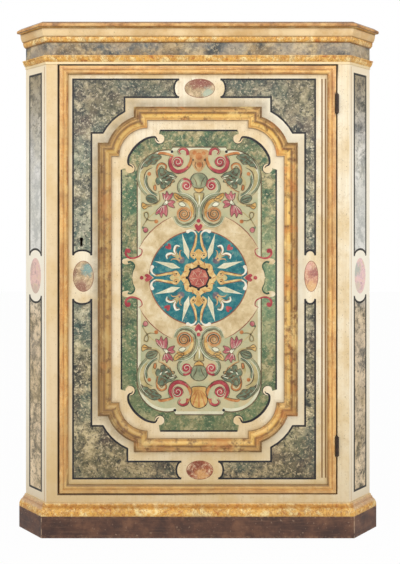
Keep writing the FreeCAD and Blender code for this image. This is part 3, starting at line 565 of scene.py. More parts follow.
def smoked_cant(p, tone):
    """Smoke near the cornice and older varnish on the lower half of the canted sides."""
    level = p.along("Z")
    left = p.between(p.along("X"), 0.0, -0.1)
    tone = p.mix(left * 0.14, tone, (248, 244, 236))
    tone = p.mix(p.between(level, 1.30, 1.60), tone, (176, 164, 138), "MULTIPLY")
    tone = p.mix(p.between(level, 1.0, 0.75), tone, (240, 220, 190), "MULTIPLY")
    calm = p.between(level, 0.80, 0.98) * p.between(level, 1.46, 1.20)
    return p.mix(calm * 0.62, tone, (222, 222, 216))


def greener_foot(p, tone):
    """A cleaner, deeper green on the lower half of the door."""
    level = p.along("Z") - DOOR_MIDDLE
    tone = p.mix(p.between(level, 0.0, -0.45) * 0.34, tone, (96, 108, 62))
    right = p.between(p.along("X"), 0.1, 0.2) * p.between(abs(level), 0.3, 0.1)
    return p.mix(right * 0.26, tone, (160, 190, 142))


# Sponged marbles: name, five tones, washes (scale, share, colour), pale flecks, dark marks, grain, ageing
MARBLES = {
    # grey-green panels of the door
    "marble": (
        "door_marble",
        ((46, 50, 44), (90, 90, 76), (130, 126, 104), (170, 160, 128), (226, 214, 180)),
        ((8.5, 0.55, (108, 90, 78)), (7.0, 0.42, (84, 116, 106)), (5.5, 0.25, (150, 144, 96))),
        (214, 204, 176), (44, 46, 42), 1.0, browned_ends,
    ),
    # bluer, lighter band under the cornice
    "frieze": (
        "frieze_marble",
        ((48, 50, 46), (88, 86, 76), (128, 116, 92), (166, 144, 104), (200, 180, 140)),
        ((8.5, 0.5, (150, 122, 78)), (9.0, 0.5, (84, 100, 108)), (11.0, 0.4, (192, 174, 150))),
        (212, 196, 162), (58, 58, 56), 0.5,
    ),
    # pale lilac-grey strips of the canted sides
    "cant_marble": (
        "cant_marble",
        ((84, 86, 74), (152, 150, 138), (222, 217, 206), (244, 239, 229), (254, 250, 240)),
        ((9.0, 0.45, (170, 160, 120)), (6.0, 0.35, (190, 192, 204)), (4.2, 0.4, (128, 122, 102))),
        (242, 236, 222), (62, 62, 54), 0.8, smoked_cant,
    ),
    # green band with beige sponge marks
    "green": (
        "green_marble",
        ((44, 74, 52), (78, 106, 74), (112, 122, 84), (150, 140, 98), (196, 180, 134)),
        ((9.0, 0.5, (144, 126, 86)), (6.0, 0.45, (74, 116, 82))),
        (206, 192, 150), (40, 58, 44), 0.8, greener_foot,
    ),
}

OVAL_SHADE = 0.62


def oval_marble(name, centre, ground, blooms):
    """A little oval of painted breccia: flecked ground with ragged patches of other colours."""
    p = Paint(name)
    tone = p.ramp(p.noise(46, 8, 0.72, 0.8), [(0.38, ground), (0.50, ground), (0.64, (226, 200, 162))])
    darkest = tone.socket.node.color_ramp.elements[0]
    darkest.color = (*[OVAL_SHADE * c for c in darkest.color[:3]], 1.0)
    for across, up, radius, patch in blooms:
        dx = p.along("X") - (centre[0] + across * MM)
        dz = p.along("Z") - (centre[1] + up * MM)
        ragged = (p.noise(70, 7, 0.72) - 0.5) * (70 * MM)
        away = p.maths("SQRT", dx * dx + dz * dz) + ragged
        reach = p.between(away, radius * MM, radius * 0.45 * MM)
        tone = p.mix(reach * 0.8, tone, patch)
    fleck = p.spots(0.57, 0.64, 240, 3, 0.6)
    tone = p.mix(fleck * 0.45, tone, (240, 220, 186))
    return p.done(tone, (0.38, 0.6), 0.00025, 180)


PIGMENT_SHINE = 0.3


def pigment(name, dark, middle, light, scale=34.0, rub=0.4):
    """A brushed colour of the ornament in three tones."""
    p = Paint(name)
    p.shader.inputs["Specular IOR Level"].default_value = PIGMENT_SHINE
    tone = p.ramp(p.noise(scale, 7, 0.64, 0.4), [(0.34, dark), (0.52, middle), (0.70, light)])
    fleck = p.spots(0.60, 0.68, 170, 4, 0.65)
    tone = p.mix(fleck * 0.35, tone, light)
    return p.done(p.aged(tone, rub, 0.3), (0.4, 0.62), 0.0002, 170)


# Brushed colours: name, dark, middle and light tone, then scale of the brushwork and share rubbed off
PIGMENTS = {
    "line": ("dark_line", (24, 23, 26), (34, 33, 36), (58, 56, 58), 34, 0.15),
    "strip_line": ("olive_line", (34, 32, 28), (50, 48, 44), (82, 78, 70), 34, 0.15),
    "fine": ("brown_line", (78, 66, 48), (100, 84, 60), (138, 116, 82), 34, 0.3),
    "field": ("field_green", (174, 178, 140), (196, 186, 146), (206, 184, 138), 15, 0.3),
    "pale": ("pale_light", (204, 206, 176), (224, 222, 194), (236, 230, 206)),
    "straw": ("straw_yellow", (180, 158, 102), (204, 186, 130), (222, 208, 164), 44),
    "glow": ("field_light", (204, 202, 170), (218, 214, 184), (230, 224, 198), 20, 0.3),
    "teal": ("teal", (16, 88, 100), (44, 118, 123), (112, 156, 144), 44, 0.5),
    "ring": ("cartouche_cream", (190, 164, 118), (217, 195, 152), (236, 222, 190), 22),
    "red": ("rose_red", (140, 46, 56), (170, 66, 72), (200, 112, 104), 34, 0.5),
    "rosette": ("rosette_red", (150, 66, 60), (182, 98, 84), (212, 150, 122), 60, 0.5),
    "pink": ("lily_pink", (146, 66, 80), (176, 96, 100), (208, 148, 138), 34, 0.5),
    "gold": ("gold_ochre", (176, 124, 62), (206, 164, 94), (224, 196, 136), 34, 0.5),
    "rope": ("pale_gold", (190, 144, 80), (222, 186, 120), (240, 216, 160), 60, 0.5),
    "tan": ("warm_tan", (178, 132, 84), (198, 156, 106), (216, 182, 134), 34, 0.5),
    "orange": ("burnt_orange", (160, 94, 52), (190, 124, 72), (212, 158, 104), 34, 0.5),
    "sage": ("sage_green", (110, 120, 94), (146, 150, 118), (176, 176, 138), 34, 0.5),
    "leaf": ("leaf_green", (74, 92, 78), (108, 122, 98), (150, 152, 120), 44, 0.5),
    "olive": ("pale_olive", (164, 148, 98), (188, 172, 122), (206, 192, 146), 34, 0.5),
    "white": ("lead_white", (218, 208, 184), (236, 228, 208), (246, 240, 226)),
    "ivory": ("ivory", (204, 198, 162), (225, 218, 186), (240, 234, 210)),
    "lilac": ("grey_lilac", (86, 80, 92), (112, 106, 110), (150, 140, 136), 60),
    "umber": ("red_umber", (112, 62, 48), (140, 82, 62), (172, 112, 84), 34, 0.3),
    "dark_green": ("dark_green", (40, 66, 52), (56, 84, 64), (92, 118, 88), 34, 0.3),
}

# Unpainted wood: name, dark, middle and light tone, then the run of the grain
WOODS = {
    "wood": ("bare_wood", (100, 70, 44), (146, 108, 70), (178, 140, 98)),
    "red_wood": ("redder_wood", (97, 66, 41), (141, 101, 65), (172, 132, 92)),
    "grey_wood": ("greyer_wood", (100, 72, 47), (144, 110, 74), (178, 143, 103)),
    "board": ("level_wood", (100, 70, 44), (146, 108, 70), (178, 140, 98), LEVEL_GRAIN),
}

FINISHES = {
    "cream": frame_cream(),
    "door_cream": door_cream(),
    "cant_cream": cant_cream(),
    "edge": edge_paint(),
    "panel": panel_paint(),
    "crown": crown_paint(),
    "architrave": architrave_paint(),
    "base": base_paint(),
    "plinth": plinth_paint(),
    "iron": iron(),
}
FINISHES.update({key: bare_wood(*row) for key, row in WOODS.items()})
FINISHES.update({key: sponged(*row) for key, row in MARBLES.items()})
FINISHES.update({key: pigment(*row) for key, row in PIGMENTS.items()})


def dress_nodes():
    """Every CAD node takes its finish by name."""
    by_prefix = {
        "crown": "crown",
        "architrave": "architrave",
        "base_moulding": "base",
        "plinth": "plinth",
        "door_edge": "edge",
        "panel_": "panel",
        "hinge_": "iron",
        "lock_": "iron",
        "strike_plate": "iron",
        "frame_nails": "iron",
        "door_nails": "iron",
        "door_plank": "door_cream",
        "left_cant": "cant_cream",
        "right_cant": "cant_cream",
    }
    plain_wood = {
        "back_plank_1": "wood",
        "back_plank_2": "red_wood",
        "back_plank_3": "grey_wood",
        "rear_post": "wood",
        "top_board": "board",
        "floor_board": "board",
        "shelf": "board",
        "door_batten": "board",
        "door_stop": "board",
    }
    for name, node in nodes.items():
        finish = next((f for start, f in by_prefix.items() if name.startswith(start)), "cream")
        finish = next((f for word, f in plain_wood.items() if word in name), finish)
        node.data.materials.clear()
        node.data.materials.append(FINISHES[finish])


# Drawing on a face: points are (across, up) in millimetres from the face's own origin


def face(origin, out):
    """Frame of an upright face: across to the right as seen from outside, up, and out."""
    up = Vector((0, 0, 1))
    across = up.cross(out)
    rows = zip(across, up, out, origin)
    return Matrix([list(row) for row in rows] + [[0, 0, 0, 1]])


HALF_ROOT = math.sqrt(0.5)
CANT_START = Vector((HALF_FRONT, FRONT, 0))
CANT_END = CANT_START + Vector((HALF_ROOT, HALF_ROOT, 0)) * CANT_FACE
DOOR = face(Vector((0, FRONT, DOOR_MIDDLE)), Vector((0, -1, 0)))
FRAME_FRONT = face(Vector((0, FRONT, 0)), Vector((0, -1, 0)))
RIGHT_CANT = face(CANT_START, Vector((HALF_ROOT, -HALF_ROOT, 0)))
LEFT_CANT = face(Vector((-CANT_END.x, CANT_END.y, 0)), Vector((-HALF_ROOT, -HALF_ROOT, 0)))


# Degrees between points of an arc, steps between two points of a curve, points on a turn of a spiral
ARC_STEP = 7
CURVE_STEPS = 6
SPIRAL_POINTS = 22


def arc(centre, radius, start, end, steps=None):
    """Points on an arc; angles in degrees."""
    count = steps or max(3, int(abs(end - start) / ARC_STEP))
    angles = [math.radians(start + (end - start) * i / count) for i in range(count + 1)]
    return [(centre[0] + radius * math.cos(a), centre[1] + radius * math.sin(a)) for a in angles]


def ellipse(centre, half_wide, half_tall, count=48):
    angles = [2 * math.pi * i / count for i in range(count)]
    return [(centre[0] + half_wide * math.cos(a), centre[1] + half_tall * math.sin(a)) for a in angles]


def polar(radius, angle):
    turn = math.radians(angle)
    return Vector((radius * math.cos(turn), radius * math.sin(turn)))


def disc(centre, radius):
    return fill(ellipse(centre, radius, radius, 20))


def curve(points, closed=False):
    """Smooth line through the points."""
    if closed:
        points = [points[-1], *points, points[0], points[1]]
    else:
        points = [points[0], *points, points[-1]]
    line = []
    for i in range(1, len(points) - 2):
        a, b, c, d = (Vector(p) for p in points[i - 1:i + 3])
        for step in range(CURVE_STEPS):
            t = step / CURVE_STEPS
            spot = b * 2 + (c - a) * t
            spot += (a * 2 - b * 5 + c * 4 - d) * t ** 2
            spot += (b * 3 - a - c * 3 + d) * t ** 3
            line.append(tuple(spot / 2))
    if not closed:
        line.append(tuple(points[-2]))
    return line


def spiral(centre, inner, outer, start, turns):
    """From the eye outwards, counter-clockwise for positive turns."""
    count = int(abs(turns) * SPIRAL_POINTS)
    line = []
    for i in range(count + 1):
        t = i / count
        angle = math.radians(start + 360 * turns * t)
        radius = inner + (outer - inner) * t
        line.append((centre[0] + radius * math.cos(angle), centre[1] + radius * math.sin(angle)))
    return line


def fill(outline, *holes):
    return ("fill", [list(outline), *[list(hole) for hole in holes]])


# Width along a stroke as a share of its full width, then corners: where a line is broken or stays blunt
TAPERS = {
    "even": lambda t: 1.0,
    "taper": lambda t: 0.18 + 0.82 * math.sin(math.pi * t) ** 0.7,
    "tail": lambda t: 1.0 - 0.8 * t,
    "head": lambda t: 0.2 + 0.8 * t,
}
SHARP = math.radians(110)
BLUNTEST = 0.42


def stroke(line, width, taper="even", closed=False):
    """A brush stroke along a line, as two edges."""
    spots = [Vector(p) for p in line]
    count = len(spots)
    left, right = [], []
    for i, spot in enumerate(spots):
        before = spots[i - 1] if closed or i else spot
        after = spots[(i + 1) % count] if closed or i < count - 1 else spot
        first = (spot - before).normalized() if before != spot else (after - spot).normalized()
        second = (after - spot).normalized() if after != spot else first
        along = (first + second).normalized()
        across = Vector((-along.y, along.x))
        corner = max(BLUNTEST, abs(across.dot(Vector((-first.y, first.x)))))
        reach = width / 2 * TAPERS[taper](i / max(1, count - 1)) / corner
        left.append(tuple(spot + across * reach))
        right.append(tuple(spot - across * reach))
    if closed:
        left.append(left[0])
        right.append(right[0])
    return ("strip", [left, right])


def outlined(outline, width):
    """Strokes round a closed outline, a new one from each sharp tip."""
    spots = [Vector(p) for p in outline]
    count = len(spots)
    turns = [(spots[i] - spots[i - 1]).angle(spots[(i + 1) % count] - spots[i]) for i in range(count)]
    tips = [i for i in range(count) if turns[i] > SHARP]
    runs = zip(tips, [*tips[1:], tips[0] + count])
    return [stroke([outline[k % count] for k in range(start, end + 1)], width) for start, end in runs]


def moved(shape, change):
    """A shape with each point changed."""
    kind, loops = shape
    return (kind, [[change(p) for p in loop] for loop in loops])


def shifted(shape, middle, side=1, up=1):
    """A shape drawn from a middle point, mirrored where side or up is -1."""
    return moved(shape, lambda p: (middle[0] + side * p[0], middle[1] + up * p[1]))


def symmetric(half):
    """A closed outline from its right half, listed from one end of the middle line to the other."""
    return [*half, *[(-x, y) for x, y in reversed(half) if x]]


def rectangle(left, right, low, high):
    return [(left, low), (right, low), (right, high), (left, high)]


def add_fill(mesh, loops, lift):
    """A flat patch with walls down to the wood."""
    flat = [Vector((x, y, 0)) for loop in loops for x, y in loop]
    top = [mesh.verts.new((p.x, p.y, lift)) for p in flat]
    low = [mesh.verts.new((p.x, p.y, 0)) for p in flat]
    for triangle in tessellate_polygon([[Vector((x, y, 0)) for x, y in loop] for loop in loops]):
        mesh.faces.new([top[i] for i in triangle])
        mesh.faces.new([low[i] for i in reversed(triangle)])
    first = 0
    for loop in loops:
        size = len(loop)
        for i in range(size):
            a, b = first + i, first + (i + 1) % size
            mesh.faces.new((top[a], top[b], low[b], low[a]))
        first += size


def add_strip(mesh, sides, lift):
    """A brush stroke with walls down to the wood."""
    left, right = sides
    rails = [[mesh.verts.new((x, y, z)) for x, y in side] for side, z in
             ((left, lift), (right, lift), (right, 0), (left, 0))]
    for i in range(len(left) - 1):
        for k in range(4):
            first, second = rails[k], rails[(k + 1) % 4]
            mesh.faces.new((first[i], second[i], second[i + 1], first[i + 1]))
    mesh.faces.new([rail[0] for rail in reversed(rails)])
    mesh.faces.new([rail[-1] for rail in rails])


def placed(name, data):
    """A new object in the scene."""
    thing = bpy.data.objects.new(name, data)
    bpy.context.scene.collection.objects.link(thing)
    return thing


def film(name, finish, layer, shapes, place=DOOR, body="door", copies=1):
    """One layer of paint: shapes of one colour on a face, each a hair above the one before."""
    mesh = bmesh.new()
    for rank, (kind, loops) in enumerate(shapes):
        add = add_fill if kind == "fill" else add_strip
        add(mesh, loops, LAYER * (layer + 1) + BRUSH_STEP * (rank // copies))
    bmesh.ops.recalc_face_normals(mesh, faces=mesh.faces)
    mesh.transform(place @ Matrix.Diagonal((MM, MM, MM, 1)))
    data = bpy.data.meshes.new(name)
    mesh.to_mesh(data)
    mesh.free()
    piece = placed(name, data)
    data.materials.append(FINISHES[finish])
    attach(piece, body)


# Marbled panels of the door, between the edge moulding and the shaped frame
PANEL_LEFT = (-441.0, -376.0)
PANEL_RIGHT = (415.0, 379.5)
PANEL_TOP = (707.0, 644.0)
PANEL_BOTTOM = (-704.0, -644.0)
OVAL_ACROSS = 7.0
OVAL_UP = 8.0
OVAL_LINE = 1.6
CUSP_GAPS = {1: 73.0, -1: 65.0}
CUSP_SIDE_GAP = 77.0
CUSP_DEPTH = 18.0
CUSP_STEPS = 8
SHOULDER = 259.0
LOWER_LEFT_SHOULDER = 249.0
ARC_CENTRE = (176.0, 433.0)
ARC_RADIUS = 181.0
ARC_END = 28.0
PANEL_LINE = 6.4
KEYHOLE = (-411.5, 141.5)
KEYHOLE_EYE = 7.4
KEYHOLE_HALF_SLOT = 4.6
KEYHOLE_DROP = 25.6
KEYHOLE_WEAR = 1.3

# Ovals of the door: centre, half sizes, ground, and patches as across, up, radius and colour
DOOR_OVALS = {
    "top_oval": ((7.0, 675.5), (53.0, 33.0), (182, 156, 116), (
        (-14, 24, 34, (130, 58, 48)), (22, 22, 36, (126, 52, 46)), (30, -16, 26, (166, 184, 162)),
    )),
    "bottom_oval": ((7.0, -674.0), (47.0, 33.0), (158, 84, 50), (
        (6, -16, 26, (212, 160, 98)), (-6, 22, 24, (124, 58, 36)), (-38, -8, 18, (118, 58, 38)),
    )),
    "left_oval": ((-404.5, 11.0), (36.0, 54.0), (184, 156, 118), (
        (18, 26, 30, (108, 158, 158)), (-8, -38, 32, (140, 90, 76)), (-34, 12, 20, (126, 88, 68)),
    )),
    "right_oval": ((401.0, 11.0), (24.0, 54.0), (206, 142, 118), (
        (0, -38, 30, (226, 182, 124)), (12, 16, 22, (156, 92, 88)), (-12, 34, 20, (224, 172, 158)),
    )),
}


def keyhole_outline(inset=0.0):
    """Eye and slot of the keyhole with their worn rim, or moved inward from it."""
    eye = KEYHOLE_EYE - inset
    half_slot = KEYHOLE_HALF_SLOT - inset
    drop = KEYHOLE_DROP - inset
    start = math.degrees(math.acos(half_slot / eye))
    ring = arc(KEYHOLE, eye, -start, 180 + start, 20)
    x, y = KEYHOLE
    return [*ring, (x - half_slot, y - drop), (x + half_slot, y - drop)]


def cusp(start, end, bulge):
    """A hollow end of a panel, from one tip to the other."""
    first, last, deep = Vector(start), Vector(end), Vector(bulge)
    middle = (first + last) / 2
    half = (last - first) / 2
    turns = [math.pi * i / CUSP_STEPS for i in range(1, CUSP_STEPS)]
    return [tuple(middle - half * math.cos(t) + deep * math.sin(t)) for t in turns]


def corner_panel(side, end):
    """An angled panel from the oval above or below the frame to the oval beside it."""
    outer, inner = PANEL_LEFT if side < 0 else PANEL_RIGHT
    far, near = PANEL_TOP if end > 0 else PANEL_BOTTOM
    cusp_x = OVAL_ACROSS + side * CUSP_GAPS[end]
    cusp_y = OVAL_UP + end * CUSP_SIDE_GAP
    shoulder = LOWER_LEFT_SHOULDER if (side, end) == (-1, -1) else SHOULDER
    start = math.degrees(math.acos((shoulder - ARC_CENTRE[0]) / ARC_RADIUS))
    bend = [(side * x, end * y) for x, y in arc(ARC_CENTRE, ARC_RADIUS, ARC_END, start)]
    return [
        (cusp_x, near),
        *cusp((cusp_x, near), (cusp_x, far), (side * CUSP_DEPTH, 0)),
        (cusp_x, far),
        (outer, far),
        (outer, cusp_y),
        *cusp((outer, cusp_y), (inner, cusp_y), (0, end * CUSP_DEPTH)),
        (inner, cusp_y),
        (inner, bend[0][1]),
        *bend,
        (bend[-1][0], near),
    ]


def door_panels():
    """Four marbled panels with dark outlines and the ovals between them."""
    patches = []
    outlines = []
    for side in (-1, 1):
        for end in (-1, 1):
            outline = corner_panel(side, end)
            outlines.append(outline)
            holes = [keyhole_outline()] if (side, end) == (-1, 1) else []
            patches.append(fill(outline, *holes))
    film("door_panels", "marble", 0, patches)
    film("door_panel_lines", "line", 1, [run for o in outlines for run in outlined(o, PANEL_LINE)])
    film("keyhole_rim", "line", 0, [fill(keyhole_outline(), keyhole_outline(KEYHOLE_WEAR))])
    for name, (centre, halves, ground, blooms) in DOOR_OVALS.items():
        spot = (centre[0] * MM, DOOR_MIDDLE + centre[1] * MM)
        FINISHES[name] = oval_marble(name, spot, ground, blooms)
        film(name, name, 0, [fill(ellipse(centre, *halves))])
        film(f"{name}_line", "umber", 1, [stroke(ellipse(centre, *halves), OVAL_LINE, closed=True)])


# Green band inside the shaped frame, with cream volutes at its corners
BAND_HALF = (273.5, 531.0)
BAND_MIDDLE = (3.6, -4.7)
BAND_LINES = (5.8, 5.4)
FIELD_HALF = (219.0, 473.0)
FIELD_MIDDLE = (5.0, -5.5)
FIELD_ARC = ((114.0, 358.0), 105.0)
FIELD_NOTCHES = (94.0, 84.0)
# Lines inside the field's edge: name, finish, layer, distance inward and width
FIELD_RIMS = (("field_line", "fine", 1.3, 0.0, 4.6), ("field_glow", "glow", 1.6, 7.0, 10.0))
FIELD_DOT = (16.0, 5.0)
STRAP_ARC = ((131.3, 388.3), 126.0)
LOWER_STRAP_RISE = 8.0
STRAP_ANGLES = (66.0, 22.0)
# Middles of the two volutes on a strap, and the strap's hook from there
VOLUTE_SPOTS = ((138.5, 501.0), (242.5, 396.5))
VOLUTE_RADIUS = 17.0
VOLUTE_LINE = 2.6
STRAP_LINE = 8.4
# Points of the strap that lie in a hook
HOOK_POINTS = 16
HOOK = ((2.0, -9.5), (8.5, -5.0), (12.0, 2.5), (20.0, 7.5))


def four_corners(upper, lower=None):
    """A closed outline from its right quarters, each listed from the middle line to the side."""
    lower = lower or upper
    lower_right = [(x, -y) for x, y in reversed(lower)]
    lower_left = [(-x, -y) for x, y in lower]
    upper_left = [(-x, y) for x, y in reversed(upper)]
    return [*upper, *lower_right, *lower_left, *upper_left]


def quadrants(shapes, middle):
    """Shapes of the upper right quarter in all four, shape by shape."""
    return [shifted(s, middle, side, up) for s in shapes for side in (1, -1) for up in (1, -1)]


def field_outline(inset):
    """Outline of the pale field, moved inward."""
    (across, up), radius = FIELD_ARC
    quarters = []
    for notch in FIELD_NOTCHES:
        start = math.degrees(math.acos((notch + 2 - across) / radius))
        bend = arc((across, up), radius - inset, start, 0, 14)
        quarters.append([(notch - inset / 2, FIELD_HALF[1] - inset), *bend])
    return four_corners(*quarters)


def strap_line(rise):
    """Dark inner line of a cream strap, hooked into a volute at each end; rise moves it inward."""
    (upper_x, upper_y), (side_x, side_y) = VOLUTE_SPOTS
    start = [(upper_x + x, upper_y + y) for x, y in HOOK]
    end = [(side_x + y, side_y + x) for x, y in reversed(HOOK)]
    line = curve([*start, *arc(*STRAP_ARC, *STRAP_ANGLES, 5), *end])
    return [(x, y - rise) for x, y in line]


def on_band(shapes, up):
    """Shapes of an upper right quarter, to both sides of the band's middle line, above or below."""
    return [shifted(s, BAND_MIDDLE, side, up) for s in shapes for side in (1, -1)]


def green_band():
    (upper_x, upper_y), (side_x, side_y) = VOLUTE_SPOTS
    outline = []
    volutes = []
    lines = []
    for up, rise in ((1, 0.0), (-1, LOWER_STRAP_RISE)):
        strap = strap_line(rise)
        outline.append([
            (upper_x, BAND_HALF[1]),
            (upper_x + 4, upper_y + 9 - rise),
            *strap[HOOK_POINTS:-HOOK_POINTS],
            (side_x + 9, side_y + 3 - rise),
            (BAND_HALF[0], side_y - 3 - rise),
        ])
        quarter = [
            stroke([(0, BAND_HALF[1]), (upper_x - 2, BAND_HALF[1])], BAND_LINES[0]),
            stroke([(BAND_HALF[0], 0), (BAND_HALF[0], side_y - 4 - rise)], BAND_LINES[1]),
            stroke(strap, STRAP_LINE, "taper"),
        ]
        spots = [(x, y - rise) for x, y in VOLUTE_SPOTS]
        for x, y in spots:
            inward = math.degrees(math.atan2(STRAP_ARC[0][1] - rise - y, STRAP_ARC[0][0] - x))
            rim = arc((x, y), VOLUTE_RADIUS, inward - 100, inward + 100)
            quarter.append(stroke(rim, VOLUTE_LINE, "taper"))
        lines += on_band(quarter, up)
        volutes += on_band([disc(spot, VOLUTE_RADIUS) for spot in spots], up)
    film("green_band", "green", 0, [shifted(fill(four_corners(*outline)), BAND_MIDDLE)])
    film("band_volutes", "door_cream", 2, volutes)
    film("band_lines", "line", 3, lines)
    film("ornament_field", "field", 1, [shifted(fill(field_outline(0.0)), FIELD_MIDDLE)])
    for name, finish, layer, inset, width in FIELD_RIMS:
        rim = stroke(field_outline(inset), width, closed=True)
        film(name, finish, layer, [shifted(rim, FIELD_MIDDLE)])
    drop, radius = FIELD_DOT
    dots = []
    for up, notch in zip((1, -1), FIELD_NOTCHES):
        dot = disc((notch + 2, FIELD_HALF[1] - drop), radius)
        dots += [shifted(dot, FIELD_MIDDLE, side, up) for side in (1, -1)]
    film("field_dots", "line", 3, dots)


# Scrollwork: points on a drawing grid of UNIT millimetres, from the middle of the ornament
UNIT = 3.156
AXIS = 4.0
MID = 9.0
ORNAMENT = (AXIS, MID)
SCROLL_ORDER = ("olive", "sage", "leaf", "tan", "gold", "orange", "red", "pink", "fine", "pale")
SCROLL_LAYER = 4
# Lines: the thinnest, dark and pale ones as shares of their band, and round a patch
THIN_LINE = 2.0
SHADE_WIDTH = 0.17
SHINE_WIDTH = 0.16
PATCH_LINE = 1.9


def grid(points):
    return [(UNIT * a, UNIT * c) for a, c in points]


def beside(line, reach):
    """A line moved sideways, to its left for a positive reach."""
    spots = [Vector(p) for p in line]
    out = []
    for i, spot in enumerate(spots):
        along = (spots[min(i + 1, len(spots) - 1)] - spots[max(i - 1, 0)]).normalized()
        out.append(tuple(spot + Vector((-along.y, along.x)) * reach))
    return out


class Sketch:
    """Brushwork sorted by colour."""

    def __init__(self):
        self.shapes = {finish: [] for finish in SCROLL_ORDER}

    def band(self, finish, points, width, taper="taper", shade=0.0, shine=0.0):
        """A stroke with a dark line and a pale one at given places across it, from -1 to 1."""
        line = curve(grid(points))
        width = width * UNIT
        self.shapes[finish].append(stroke(line, width, taper))
        for tint, place, share in (("fine", shade, SHADE_WIDTH), ("pale", shine, SHINE_WIDTH)):
            if place:
                edge = beside(line, place * width / 2)
                self.shapes[tint].append(stroke(edge, max(THIN_LINE, width * share), "taper"))

    def coil(self, finish, centre, inner, outer, start, turns, width, taper):
        eye = (UNIT * centre[0], UNIT * centre[1])
        line = spiral(eye, inner * UNIT, outer * UNIT, start, turns)
        self.shapes[finish].append(stroke(line, width * UNIT, taper))

    def patch(self, finish, points):
        """A filled shape with a thin brown outline."""
        outline = curve(grid(points), closed=True)
        self.shapes[finish].append(fill(outline))
        self.shapes["fine"].append(stroke(outline, PATCH_LINE, closed=True))

    def spot(self, finish, centre, radius):
        self.shapes[finish].append(disc((UNIT * centre[0], UNIT * centre[1]), UNIT * radius))

    def vein(self, points, width=0.8):
        self.shapes["fine"].append(stroke(curve(grid(points)), width * UNIT, "taper"))


